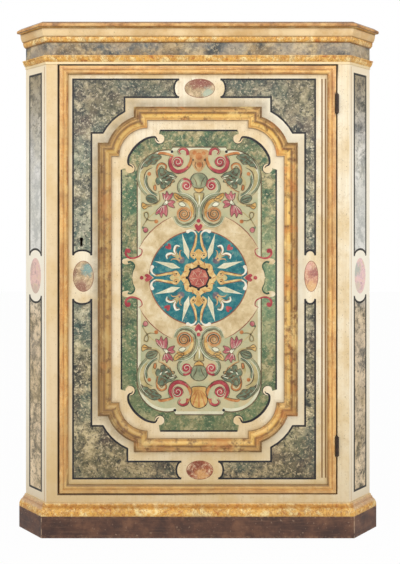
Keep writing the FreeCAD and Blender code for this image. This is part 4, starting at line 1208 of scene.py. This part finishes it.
def side_scrolls():
    """Everything to the right of the axis, above the medallion."""
    s = Sketch()
    # crimson scroll with its hook, and the stem that leaves it
    s.spot("red", (23.8, 128.7), 6.0)
    s.coil("pale", (23.8, 128.7), 0.6, 5.6, 100, -1.5, 0.55, "taper")
    s.coil("fine", (23.8, 128.7), 2.0, 6.6, 190, -1.1, 0.9, "taper")
    s.band("red", [(29.4, 135.6), (32.2, 129), (30.2, 121.6), (24.2, 117.8), (16.8, 119.6), (12, 124)],
           4.6, "taper", 0.95)
    s.band("orange", [(17.6, 119.2), (12.4, 122.8), (9.4, 128.4), (9.2, 134)], 4.0, "taper", 0.8)
    s.band("red", [
        (12.4, 136.4), (13.6, 141.6), (18.6, 143.4), (22.4, 140.6), (20.2, 137.4),
    ], 3.6, "tail", 0.9)
    s.band("orange", [(28, 135.4), (35, 137.4), (43, 138.6), (46, 137)], 3.2, "taper", -0.9)
    # acanthus along the upper corner of the field
    s.patch("leaf", [
        (42, 134.6), (49.5, 138), (57, 135), (62.8, 128.6), (65.8, 120.4), (61.4, 123), (58, 123.4),
        (54.6, 126), (49.5, 126), (46.4, 129.6),
    ])
    s.vein([(44, 134.6), (53, 132.6), (60, 126)], 1.2)
    s.vein([(49, 127), (53.6, 130.6), (57, 134)], 0.8)
    s.vein([(56, 124.6), (59, 128), (61, 130.4)], 0.8)
    for dash in ([(46, 131.6), (49.4, 129.4)], [(52, 128.6), (55, 127)], [(50.4, 135.4), (54, 134)],
                 [(58.4, 130.6), (61.6, 127)], [(63, 124.6), (64.6, 121.6)]):
        s.vein(dash, 1.5)
    for dash in ([(48, 135.6), (51, 135.4)], [(55.6, 132.6), (58.6, 129.8)], [(53, 129), (56, 129.6)]):
        s.band("sage", dash, 2.2)
    s.band("sage", [
        (58, 133), (64.6, 126), (67.4, 117), (67.4, 107), (64, 98.4), (58, 92),
    ], 3.6, "taper", 0.9, -0.7)
    s.band("olive", [
        (53, 124.4), (60, 120.4), (63.4, 113), (62.6, 104.4), (57.6, 96.4),
    ], 5.6, "taper", -0.8)
    s.band("leaf", [
        (58.4, 113.6), (59.8, 107), (57.6, 100), (52.6, 94), (46.6, 91),
    ], 3.8, "taper", -0.9, 0.5)
    s.band("olive", [(47.4, 113), (50.6, 107), (50.4, 101), (47, 96)], 3.6)
    s.spot("orange", (55.6, 115.3), 2.1)
    s.patch("orange", [(47.6, 99), (48.6, 103), (50.8, 101.6), (50.4, 97.6), (48.4, 96.6)])
    # curled leaf under the crimson scroll
    s.patch("leaf", [
        (25, 112), (29.6, 116.4), (35, 118.2), (39, 121.4), (44, 121.4), (47.4, 117), (46.4, 112.6),
        (48.6, 108), (46.4, 103), (43.4, 104), (42.4, 99.4), (38.4, 99.2), (36.6, 103), (32.4, 101.8),
        (31, 105.4), (27.2, 106.4), (28, 109.4),
    ])
    s.band("orange", [
        (38, 119.4), (37, 124.4), (41.6, 127), (46, 124.4), (47.2, 117), (45.6, 111),
    ], 2.2, "taper", 0.9)
    s.patch("olive", [(39, 119), (41.4, 123.6), (44.4, 121), (43.6, 116.4), (40.6, 115.4)])
    for vein in ([(24, 112.4), (32, 111), (41, 104)], [(28, 108.4), (34, 108.6), (39, 102)],
                 [(31, 115), (36, 112.6), (43, 109)], [(36, 117.4), (39, 114.6), (43.6, 113)]):
        s.vein(vein, 1.1)
    s.band("pale", [(26, 111), (33, 113.4), (40, 110.6)], 1.0)
    for dash in ([(39.4, 118.4), (36.6, 116)], [(36, 114.6), (33, 112)], [(40.4, 112), (37, 110)],
                 [(35, 109.4), (31, 107)], [(43.6, 116), (41, 113)], [(42.6, 107), (40.6, 103)]):
        s.vein(dash, 1.7)
    for dash in ([(43.8, 110), (41.6, 106.6)], [(38.4, 107), (35, 106)], [(30, 110.4), (27, 109.6)]):
        s.band("pale", dash, 1.3)
    for curl in ([(46.6, 116), (44, 119.6), (40.6, 118)], [(47.6, 108.4), (44.6, 111.6), (41.4, 110)],
                 [(43, 101.4), (41.6, 105), (38.4, 104.6)], [(36.6, 103.4), (34.8, 106), (31.6, 105)]):
        s.band("olive", curl, 1.9, "head")
    s.band("tan", [(26, 112.4), (32, 103.4), (39, 97.4), (45, 94.6)], 1.7, "taper", 0.8)
    # rose and green scroll beside the axis
    s.spot("red", (13.9, 102.0), 5.0)
    s.coil("pale", (13.9, 102.0), 0.5, 4.8, 200, -1.4, 0.6, "taper")
    s.band("red", [(8.4, 101), (9.4, 106.4), (13.4, 109.2), (17.4, 108.6)], 3.2, "head")
    s.band("sage", [
        (14, 109.4), (18.8, 108), (22, 103.2), (22, 97.6), (18.6, 93.4),
    ], 4.0, "taper", 0.9, -0.6)
    # lily with its leaf and trumpet
    s.patch("pink", [
        (35.6, 85), (30.6, 88.6), (29.2, 94.4), (33.2, 92.2), (36, 96.2), (37.8, 92.4), (40.8, 93.6),
        (39.4, 87.4),
    ])
    s.patch("pink", [
        (35, 83.8), (30.6, 86), (26.6, 84), (29, 81.2), (27.2, 77.4), (32.4, 78.4), (35.4, 81.2),
    ])
    s.patch("pink", [
        (37.2, 81.6), (35, 75), (36.2, 67.6), (39.8, 71), (42.2, 66.2), (44.4, 70.8), (48.4, 69.6),
        (46.8, 75.2), (41.6, 79.6),
    ])
    for vein in ([(35.6, 86), (33, 91)], [(37, 86), (38, 91.6)], [(33.6, 83), (29.4, 83.4)],
                 [(38.4, 79), (38, 71)], [(39.6, 78.6), (43, 70)], [(40.8, 78.8), (46.4, 72)]):
        s.shapes["red"].append(stroke(grid(vein), 1.2 * UNIT, "tail"))
        s.band("pale", [(a + 1.1, c + 0.5) for a, c in vein], 0.7, "tail")
    s.patch("pale", [(34.6, 84), (36.4, 86), (38.6, 83.4), (40.6, 80.6), (37.4, 80.4), (35, 82)])
    s.patch("leaf", [(46.4, 85), (49.4, 90.4), (55.6, 92), (59.4, 89), (56.8, 84), (50.2, 82.6)])
    s.vein([(47.6, 85.2), (53, 88), (58, 89)], 1.0)
    s.vein([(49, 84), (54, 85.4), (57, 86.4)], 0.8)
    s.band("olive", [(44.4, 96), (43, 88), (46, 82.4), (53, 80.2), (61, 81)], 2.4, "taper", 0.8)
    s.patch("gold", [(53, 79.6), (58.6, 80.8), (63.2, 83.2), (64, 78.6), (61, 75.8), (57, 78.2)])
    s.vein([(55, 79), (60, 79.4), (63, 78.4)], 0.9)
    s.patch("gold", [(16.8, 87), (22, 91.6), (27.4, 94), (27.8, 89.4), (24, 85.4), (19.4, 85)])
    s.vein([(19, 86.6), (23, 88.4), (26.4, 91.4)], 0.8)
    # gold volute with its green stem
    s.spot("tan", (16.7, 70.3), 8.4)
    s.coil("orange", (16.7, 70.3), 1.4, 8.8, 250, -2.25, 1.5, "head")
    s.coil("fine", (16.7, 70.3), 0.6, 6.8, 250, -2.25, 1.5, "head")
    s.coil("pale", (16.7, 70.3), 0.8, 7.4, 160, -2.0, 1.2, "head")
    s.band("gold", [(8, 67), (7.4, 75), (10.6, 82.6), (17.6, 86.4), (25, 84)], 4.2, "taper", 0.9)
    s.patch("pale", [(14.6, 80.4), (18.4, 83.8), (22.6, 82.2), (20.6, 79.4), (17, 78.6)])
    s.band("sage", [
        (1.6, 66), (1.6, 75), (4, 82.6), (9, 88.6), (15.4, 92), (24, 93),
    ], 5.0, "taper", -0.9, 0.4)
    s.band("sage", [
        (2.6, 70), (4, 64), (9.6, 58.4), (17.4, 57.2), (24.4, 61), (27.2, 68),
    ], 3.8, "taper", 0.9, -0.5)
    s.band("leaf", [(3.4, 73), (4.2, 66), (9.4, 61), (15.6, 59.8)], 1.6)
    # tendrils and buds in the lower corner
    s.band("olive", [
        (48, 63), (54.6, 62.6), (60.4, 66), (61.6, 71.4), (57.6, 72.4), (56.4, 67.4), (59.6, 61),
        (63.4, 55),
    ], 1.5, "taper", 0.8)
    s.spot("orange", (47.8, 62), 2.2)
    s.patch("pink", [(57, 53), (60, 55.6), (62.6, 53), (61, 49.8), (58.4, 50)])
    s.spot("leaf", (62.4, 55), 1.4)
    s.band("olive", [(47, 74), (52, 70), (56, 66)], 1.2)
    return s.shapes


def axis_shapes():
    """What stands on the axis above the medallion."""
    s = Sketch()
    s.patch("sage", symmetric([(0, 116.4), (5.6, 115), (8.8, 110), (7.4, 102.4), (3, 99)]))
    for lean in (-6.2, -2.2, 2.2, 6.2):
        s.band("olive", [(lean, 113), (0.8 * lean, 107), (0.4 * lean, 101)], 2.4, "tail")
    s.patch("gold", symmetric([(0, 99.4), (4.6, 99.8), (5.2, 97.6), (2.8, 95.4), (0, 94.2)]))
    s.patch("olive", symmetric([(0, 94), (5.6, 93.4), (4, 86), (1.2, 78), (0, 73)]))
    for side in (-1, 1):
        s.vein([(side * 6.8, 112), (side * 3.6, 107), (side * 2, 101)], 0.9)
        s.vein([(side * 5.8, 93.4), (side * 3.8, 85), (side * 0.8, 75)], 0.9)
        s.band("leaf", [(side * 6, 103), (side * 9.4, 108), (side * 8, 112.4), (side * 5, 115)], 1.6)
    s.band("pale", [(0, 92), (0.6, 86), (0, 80)], 1.6)
    return s.shapes


def mask_shapes():
    """The tan blotch between the crimson scrolls, at the head only."""
    s = Sketch()
    outline = symmetric([(0, 143), (9.8, 141.6), (10.4, 134), (8, 127), (4.6, 121), (0, 117.6)])
    s.shapes["tan"].append(fill(curve(grid(outline), closed=True)))
    for spot, radius in (((0, 135), 4.0), ((-5, 139), 2.4), ((5.4, 138.4), 2.2), ((0.6, 125.4), 3.0)):
        s.spot("orange", spot, radius)
    for side in (-1, 1):
        s.spot("fine", (side * 6.6, 131), 1.2)
        s.vein([(side * 3.4, 129), (side * 4.4, 125), (side * 2.4, 121)], 0.8)
    return s.shapes


def heart(reach, size):
    """A bud shaped like a heart, to the right of the medallion's middle, its point inward."""
    outline = symmetric([(0, -1.0), (0.95, 0.25), (0.5, 0.85), (0, 0.4)])
    return fill(curve([(reach + size * y, size * x) for x, y in outline], closed=True))


def scrollwork():
    """Scrolls, leaves and lilies, mirrored to both sides of the axis and below the medallion."""
    beside_axis = side_scrolls()
    on_axis = axis_shapes()
    mask = mask_shapes()
    for layer, finish in enumerate(SCROLL_ORDER, SCROLL_LAYER):
        films = (
            ("scrolls", quadrants(beside_axis[finish], ORNAMENT), 4),
            ("axis", [shifted(s, ORNAMENT, 1, up) for s in on_axis[finish] for up in (1, -1)], 2),
            ("mask", [shifted(s, ORNAMENT) for s in mask[finish]], 1),
        )
        for name, shapes, copies in films:
            if shapes:
                film(f"{name}_{finish}", finish, layer, shapes, copies=copies)


# Shell: its place below the middle and its scale on the grid, then its ribs in degrees and millimetres
SHELL_DROP = 134
SHELL_SCALE = 0.9
SHELL_LINE = 3.0
RIB_LEANS = (-40, -20, 0, 20, 40)
RIB_LENGTH = 66
RIB_WIDTH = 6.4


def shell():
    """The fluted shell at the foot of the ornament, fanning downwards."""
    middle = MID - SHELL_DROP * UNIT
    bowl = symmetric([(4, 12.5), (9, 11), (8.6, 5), (10.8, -3), (9, -10), (3.4, -14)])
    size = UNIT * SHELL_SCALE
    outline = curve([(AXIS + a * size, middle + c * size) for a, c in bowl], closed=True)
    film("shell", "gold", 14, [fill(outline)])
    film("shell_line", "fine", 15, [stroke(outline, SHELL_LINE, closed=True)])
    ribs = []
    for lean in RIB_LEANS:
        across, up = polar(1, lean - 90)
        root = (AXIS + 8 * across, middle + 24)
        tip = (AXIS + RIB_LENGTH * across, middle + 30 + RIB_LENGTH * up)
        ribs.append(stroke([root, tip], RIB_WIDTH, "head"))
    film("shell_ribs", "orange", 15, ribs, copies=5)


# Medallion: millimetres from its centre; the ends of a ray as radius and degrees
MEDALLION = (2.7, 6.0)
DISC_HALF = (174.0, 168.0)
RING_RADIUS = 235.0
RING_ANGLES = (66.5, 27.0)
RAY_FOOT = (73.0, 28.0)
RAY_TIP = (167.0, 20.5)
RAY_HALF = 10.0
RAY_BROADEST = 0.3
RAY_SPINE = (0.08, 0.8)
ROSETTE = 38.0
# Hearts: distance from the centre and size
PIP = (152.0, 11.5)
PIP_ANGLE = 44.0
BUD = (178.0, 14.5)
THROATS = {"level": "straw", "upright": "gold"}


def cartouche_quarter():
    """Outer edge of the cream ring, from the top round to the right."""
    rim = arc((0, 0), RING_RADIUS, *RING_ANGLES, 10)
    upper = curve([(0, 176), (27, 175), (55, 177), (80, 190), rim[0]])
    arm = curve([
        rim[-1], (201, 98), (203, 84), (212, 75), (230, 69), (250, 69), (265, 66), (271, 58), (266, 49),
        (252, 47), (241, 51), (231, 49), (227, 37), (233, 20), (236, 4),
    ])
    return [*upper[1:-1], *rim[:-1], *arm]


def turned(shape, angle):
    """A shape turned about the medallion's centre."""
    c, s = math.cos(math.radians(angle)), math.sin(math.radians(angle))
    return moved(shape, lambda p: (p[0] * c - p[1] * s, p[0] * s + p[1] * c))


def on_medallion(shapes):
    return [shifted(s, MEDALLION) for s in shapes]


def facing(shapes, angles):
    """Shapes to the right of the medallion's middle, turned to each angle, shape by shape."""
    return on_medallion([turned(s, angle) for s in shapes for angle in angles])


def all_round(shapes, count=4):
    return facing(shapes, [360 * i / count for i in range(count)])


def mirrored(shapes):
    """Shapes and their mirror images across the line that points right."""
    return shapes + [moved(s, lambda p: (p[0], -p[1])) for s in shapes]


def across_diagonal(shapes):
    """Shapes and their mirror images across the diagonal."""
    return shapes + [moved(s, lambda p: (p[1], p[0])) for s in shapes]


def scalloped(radius, wave, lobes=8, count=96):
    turns = [360 * i / count for i in range(count)]
    return [tuple(polar(radius + wave * math.cos(math.radians(lobes * t)), t)) for t in turns]


def cartouche():
    """Cream ring with hooked arms to the sides."""
    film("cartouche", "ring", 2, on_medallion([fill(four_corners(cartouche_quarter()))]))
    rim = stroke(arc((0, 0), RING_RADIUS, *RING_ANGLES), 3.4, "taper")
    film("cartouche_lines", "umber", 3, quadrants([rim], MEDALLION), copies=4)
    hook = curve([
        (212, 105), (200, 98), (202, 84), (212, 75), (230, 69), (246, 71), (257, 83), (254, 98), (244, 97),
    ])
    curl = [stroke(hook, 10.0, "head"), disc((247, 94), 7.0)]
    film("cartouche_curls", "red", 3, quadrants(curl, MEDALLION), copies=4)
    lobe = curve([(250, 54), (240, 56), (230, 50), (226, 38), (233, 20), (235, 2)])
    film("cartouche_lobes", "dark_green", 3, quadrants([stroke(lobe, 8.0, "tail")], MEDALLION), copies=4)


def lyre(spread):
    """Parts of a gold arm that points right: strands, curls, eyes, throat and shading."""
    line = curve([
        (70, spread - 7), (80, spread + 7), (94, spread + 4), (114, 13), (136, 8.5), (154, 8), (163, 15),
    ])
    throat = curve([(58, 5), (70, 9), (86, spread - 2), (98, 7), (102, 0)])
    return {
        "rope": mirrored([stroke(line, 13.0, "tail"), disc((80, spread), 11.0)]),
        "throat": [fill([*throat, *[(x, -y) for x, y in reversed(throat[:-1])]])],
        "line": mirrored([disc((79, spread + 1), 3.0)]),
        "umber": mirrored([
            stroke(beside(line, 4.6)[4:], 2.4, "taper"),
            stroke(arc((80, spread), 6.5, -150, 60), 2.0, "taper"),
        ]),
        "white": mirrored([
            stroke(curve([(152, 8.5), (162, 14), (167.5, 26), (164, 38)]), 11.0, "head"),
            disc((163.6, 38), 6.4),
        ]),
    }


def eightfold(name, finish, layer, shape):
    """A film of one shape to both sides of each diagonal."""
    film(name, finish, layer, all_round(across_diagonal([shape])), copies=4)


def medallion():
    """Teal disc with rays, lyres and leaves round a red rosette."""
    rim = ellipse((0, 0), *DISC_HALF, 72)
    film("medallion_disc", "teal", 3, on_medallion([fill(rim)]))
    film("medallion_rim", "umber", 4, on_medallion([stroke(rim, 3.6, closed=True)]))
    foot, tip = polar(*RAY_FOOT), polar(*RAY_TIP)
    broad = foot.lerp(tip, RAY_BROADEST)
    aside = (tip - foot).orthogonal().normalized() * RAY_HALF
    ray = fill([tuple(p) for p in (foot, broad + aside, tip, broad - aside)])
    eightfold("medallion_rays", "ivory", 4, ray)
    spine = [tuple(foot.lerp(tip, t)) for t in RAY_SPINE]
    eightfold("ray_spines", "sage", 5, stroke(spine, 2.0, "taper"))
    sockets = [fill([(192, -26), (178, -15), (158, 0), (178, 15), (192, 26)])]
    film("heart_sockets", "ring", 4.5, all_round(sockets), copies=4)
    level, upright = lyre(12.5), lyre(18.0)
    for layer, part in enumerate(("throat", "rope", "umber", "line", "white")):
        for name, lyres, angles in (("level", level, (0, 180)), ("upright", upright, (90, 270))):
            finish = THROATS[name] if part == "throat" else part
            film(f"{name}_lyres_{part}", finish, 5 + layer, facing(lyres[part], angles), copies=2)
    film("medallion_ring", "rope", 10, on_medallion([fill(scalloped(60, 4.0), ellipse((0, 0), 34, 34))]))
    twist = [stroke([(46, -6), (53, 0), (62, 3)], 3.4, "taper")]
    film("ring_twists", "orange", 11, all_round(twist, 16), copies=16)
    leaf = curve([(62, 58), (76, 78), (85, 98), (78, 113), (68, 110)])
    eightfold("sprigs", "olive", 6, stroke(leaf, 15.0, "tail"))
    hook = curve([(80, 84), (86, 98), (80, 113), (66, 111)])
    eightfold("sprig_tips", "white", 7, stroke(hook, 6.4, "taper"))
    shade = curve([(76, 80), (81, 94), (77, 106), (69, 105)])
    eightfold("sprig_shade", "umber", 8, stroke(shade, 2.6, "taper"))
    foot_patch = curve([(50, 58), (58, 50), (72, 52), (74, 62), (66, 72), (54, 70)], closed=True)
    film("sprig_feet", "lilac", 8, all_round([fill(foot_patch)]), copies=4)
    leaflet = curve([(66, 60), (78, 66), (92, 66), (98, 60)])
    eightfold("sprig_leaflets", "tan", 8.5, stroke(leaflet, 7.0, "tail"))
    octagon = ellipse((0, 0), ROSETTE, ROSETTE, 8)
    film("medallion_rosette", "rosette", 11, on_medallion([fill(octagon)]))
    flecks = [stroke([(7, 2), (29, 4)], 4.0, "taper"), stroke([(17, 12), (28, 3)], 3.2, "taper")]
    film("rosette_flecks", "ivory", 12, all_round(flecks, 6), copies=6)
    notches = [disc(corner, 5.0) for corner in ellipse((0, 0), ROSETTE + 3, ROSETTE + 3, 8)]
    film("rosette_line", "line", 13, on_medallion([stroke(octagon, 6.0, closed=True), *notches]))
    pip = turned(heart(*PIP), PIP_ANGLE)
    film("medallion_pips", "red", 5, all_round([pip]), copies=4)
    film("medallion_buds", "red", 15, all_round([heart(*BUD), disc((201, 0), 6.6)]), copies=4)


# Marbled strips of the canted sides: millimetres from the front corner
STRIP = (31.0, 106.0)
STRIP_LEVELS = ((148.0, 843.0), (985.0, 1635.0))
CANT_OVAL = (913.0, 35.0, 64.0)
CANT_LINE = 11.0
CANT_LINE_WIDTH = 2.6
CANT_LINE_ENDS = (30.0, 22.0)
STRIP_LINE = 7.4
STRIP_DIPS = (26.0, 24.0)
# Ovals of the canted sides: side, ground, and patches as across, up, radius and colour
CANT_PINKS = {
    "left_pink": (-1, (240, 200, 192), (
        (0, -54, 34, (206, 184, 166)), (-22, 30, 20, (206, 178, 168)),
    )),
    "right_pink": (1, (246, 206, 208), (
        (-20, 24, 30, (176, 188, 174)), (-16, -40, 22, (214, 200, 180)),
    )),
}


def canted_sides():
    """Marbled strips with an oval between them, the band above them and a thin line at the corner."""
    near, far = STRIP
    middle = (near + far) / 2
    (foot, lower_tip), (upper_tip, head) = STRIP_LEVELS
    lower = cusp((far, lower_tip), (near, lower_tip), (0, -STRIP_DIPS[0]))
    upper = cusp((near, upper_tip), (far, upper_tip), (0, STRIP_DIPS[1]))
    outlines = [
        [(near, foot), (far, foot), (far, lower_tip), *lower, (near, lower_tip)],
        [(near, upper_tip), *upper, (far, upper_tip), (far, head), (near, head)],
    ]
    oval = ellipse((middle, CANT_OVAL[0]), *CANT_OVAL[1:])
    aside = HALF_FRONT + middle * HALF_ROOT * MM
    for name, (side, ground, blooms) in CANT_PINKS.items():
        FINISHES[name] = oval_marble(name, (side * aside, CANT_OVAL[0] * MM), ground, blooms)
    band = rectangle(0, CANT_FACE / MM, FRIEZE_LOW / MM, CROWN_LOW / MM)
    edge = [(CANT_LINE, foot - CANT_LINE_ENDS[0]), (CANT_LINE, head + CANT_LINE_ENDS[1])]
    sides = (("left", LEFT_CANT, (CANT_FACE / MM, 0), -1), ("right", RIGHT_CANT, (0, 0), 1))
    for side, place, corner, run in sides:
        films = (
            ("marble", "cant_marble", 0, [fill(o) for o in outlines]),
            ("frieze", "frieze", 0, [fill(band)]),
            ("lines", "strip_line", 1, [line for o in outlines for line in outlined(o, STRIP_LINE)]),
            ("oval", f"{side}_pink", 0, [fill(oval)]),
            ("edge_line", "tan", 0, [stroke(edge, CANT_LINE_WIDTH)]),
        )
        for name, finish, layer, shapes in films:
            on_side = [shifted(s, corner, run) for s in shapes]
            film(f"{side}_cant_{name}", finish, layer, on_side, place, "carcass")


def frieze():
    half = HALF_FRONT / MM
    band = rectangle(-half, half, FRIEZE_LOW / MM, CROWN_LOW / MM)
    film("frieze_marble", "frieze", 0, [fill(band)], FRAME_FRONT, "carcass")


# Studio: tints, floor, and soft boxes as name, place from the middle of the front and power
SKY_TINT = (1, 0.985, 0.96, 1)
SKY_STRENGTH = 0.5
WHITE = (1, 1, 1, 1)
FLOOR_REACH = 9.0
FLOOR_TINT = (0.86, 0.86, 0.86, 1)
FLOOR_ROUGHNESS = 0.9
FLOOR_WHITENESS = 0.97
LAMPS = (("key", (-1.5, -2.6, 3.0), 52), ("fill", (1.9, -2.8, 2.2), 44))
LAMP_SIDE = 2.4
LAMP_AIM = Vector((0, 0, 0.9))


def maths_node(tree, operation, first, second):
    """A sum of two values, of which the second may be a plain number."""
    node = tree.nodes.new("ShaderNodeMath")
    node.operation = operation
    tree.links.new(first, node.inputs[0])
    if isinstance(second, float):
        node.inputs[1].default_value = second
    else:
        tree.links.new(second, node.inputs[1])
    return node.outputs[0]


def seen_directly(tree):
    """1 for what the camera, a reflection or a pane shows, 0 for light."""
    rays = tree.nodes.new("ShaderNodeLightPath").outputs
    seen = maths_node(tree, "MAXIMUM", rays["Is Camera Ray"], rays["Is Glossy Ray"])
    return maths_node(tree, "MAXIMUM", seen, rays["Is Transmission Ray"])


def blended(tree, share, first, second, output):
    """Two shaders mixed into the output of a tree."""
    blend = tree.nodes.new("ShaderNodeMixShader")
    for socket, source in zip(blend.inputs, (share, first.outputs[0], second.outputs[0])):
        tree.links.new(source, socket)
    tree.links.new(blend.outputs[0], tree.nodes[output].inputs["Surface"])


def surroundings():
    """White where it is seen, a soft warm light elsewhere."""
    world = bpy.data.worlds.new("studio")
    bpy.context.scene.world = world
    world.use_nodes = True
    tree = world.node_tree
    seen = tree.nodes["Background"]
    seen.inputs["Color"].default_value = WHITE
    light = tree.nodes.new("ShaderNodeBackground")
    light.inputs["Color"].default_value = SKY_TINT
    light.inputs["Strength"].default_value = SKY_STRENGTH
    blended(tree, seen_directly(tree), light, seen, "World Output")


def floor_paint():
    """White floor that keeps a soft shadow."""
    material = bpy.data.materials.new("floor_white")
    material.use_nodes = True
    tree = material.node_tree
    diffuse = tree.nodes["Principled BSDF"]
    diffuse.inputs["Base Color"].default_value = FLOOR_TINT
    diffuse.inputs["Roughness"].default_value = FLOOR_ROUGHNESS
    white = tree.nodes.new("ShaderNodeEmission")
    white.inputs["Color"].default_value = WHITE
    share = maths_node(tree, "MULTIPLY", seen_directly(tree), FLOOR_WHITENESS)
    blended(tree, share, diffuse, white, "Material Output")
    return material


def lamp(name, spot, power):
    """A square soft box aimed at the middle of the cabinet."""
    data = bpy.data.lights.new(name, "AREA")
    data.shape = "SQUARE"
    data.size = LAMP_SIDE
    data.energy = power
    light = placed(name, data)
    light.location = spot
    light.rotation_euler = (LAMP_AIM - spot).to_track_quat("-Z", "Y").to_euler()


def studio():
    """White surroundings and floor, a soft key, a fill and a camera at the photo's angle."""
    surroundings()
    floor_mesh = bpy.data.meshes.new("floor")
    corners = rectangle(-FLOOR_REACH, FLOOR_REACH, -FLOOR_REACH, FLOOR_REACH)
    floor_mesh.from_pydata([(x, y, 0) for x, y in corners], [], [range(4)])
    floor_mesh.materials.append(floor_paint())
    placed("floor", floor_mesh)

    for name, (across, out, up), power in LAMPS:
        lamp(name, Vector((across, FRONT + out, up)), power)

    camera = placed("camera", bpy.data.cameras.new("camera"))
    camera.location = (0, FRONT - CAMERA_BACK, CAMERA_HEIGHT)
    camera.rotation_euler = (math.pi / 2, 0, 0)
    camera.data.sensor_width = SENSOR
    camera.data.lens = FOCAL_PIXELS / IMAGE_HEIGHT * SENSOR
    camera.data.shift_x = SHIFT_RIGHT_PIXELS / IMAGE_HEIGHT
    camera.data.shift_y = SHIFT_UP_PIXELS / IMAGE_HEIGHT
    camera.data.clip_end = CAMERA_REACH
    bpy.context.scene.camera = camera
    bpy.context.scene.view_settings.view_transform = "Standard"


dress_nodes()
door_panels()
green_band()
scrollwork()
shell()
cartouche()
medallion()
canted_sides()
frieze()
studio()
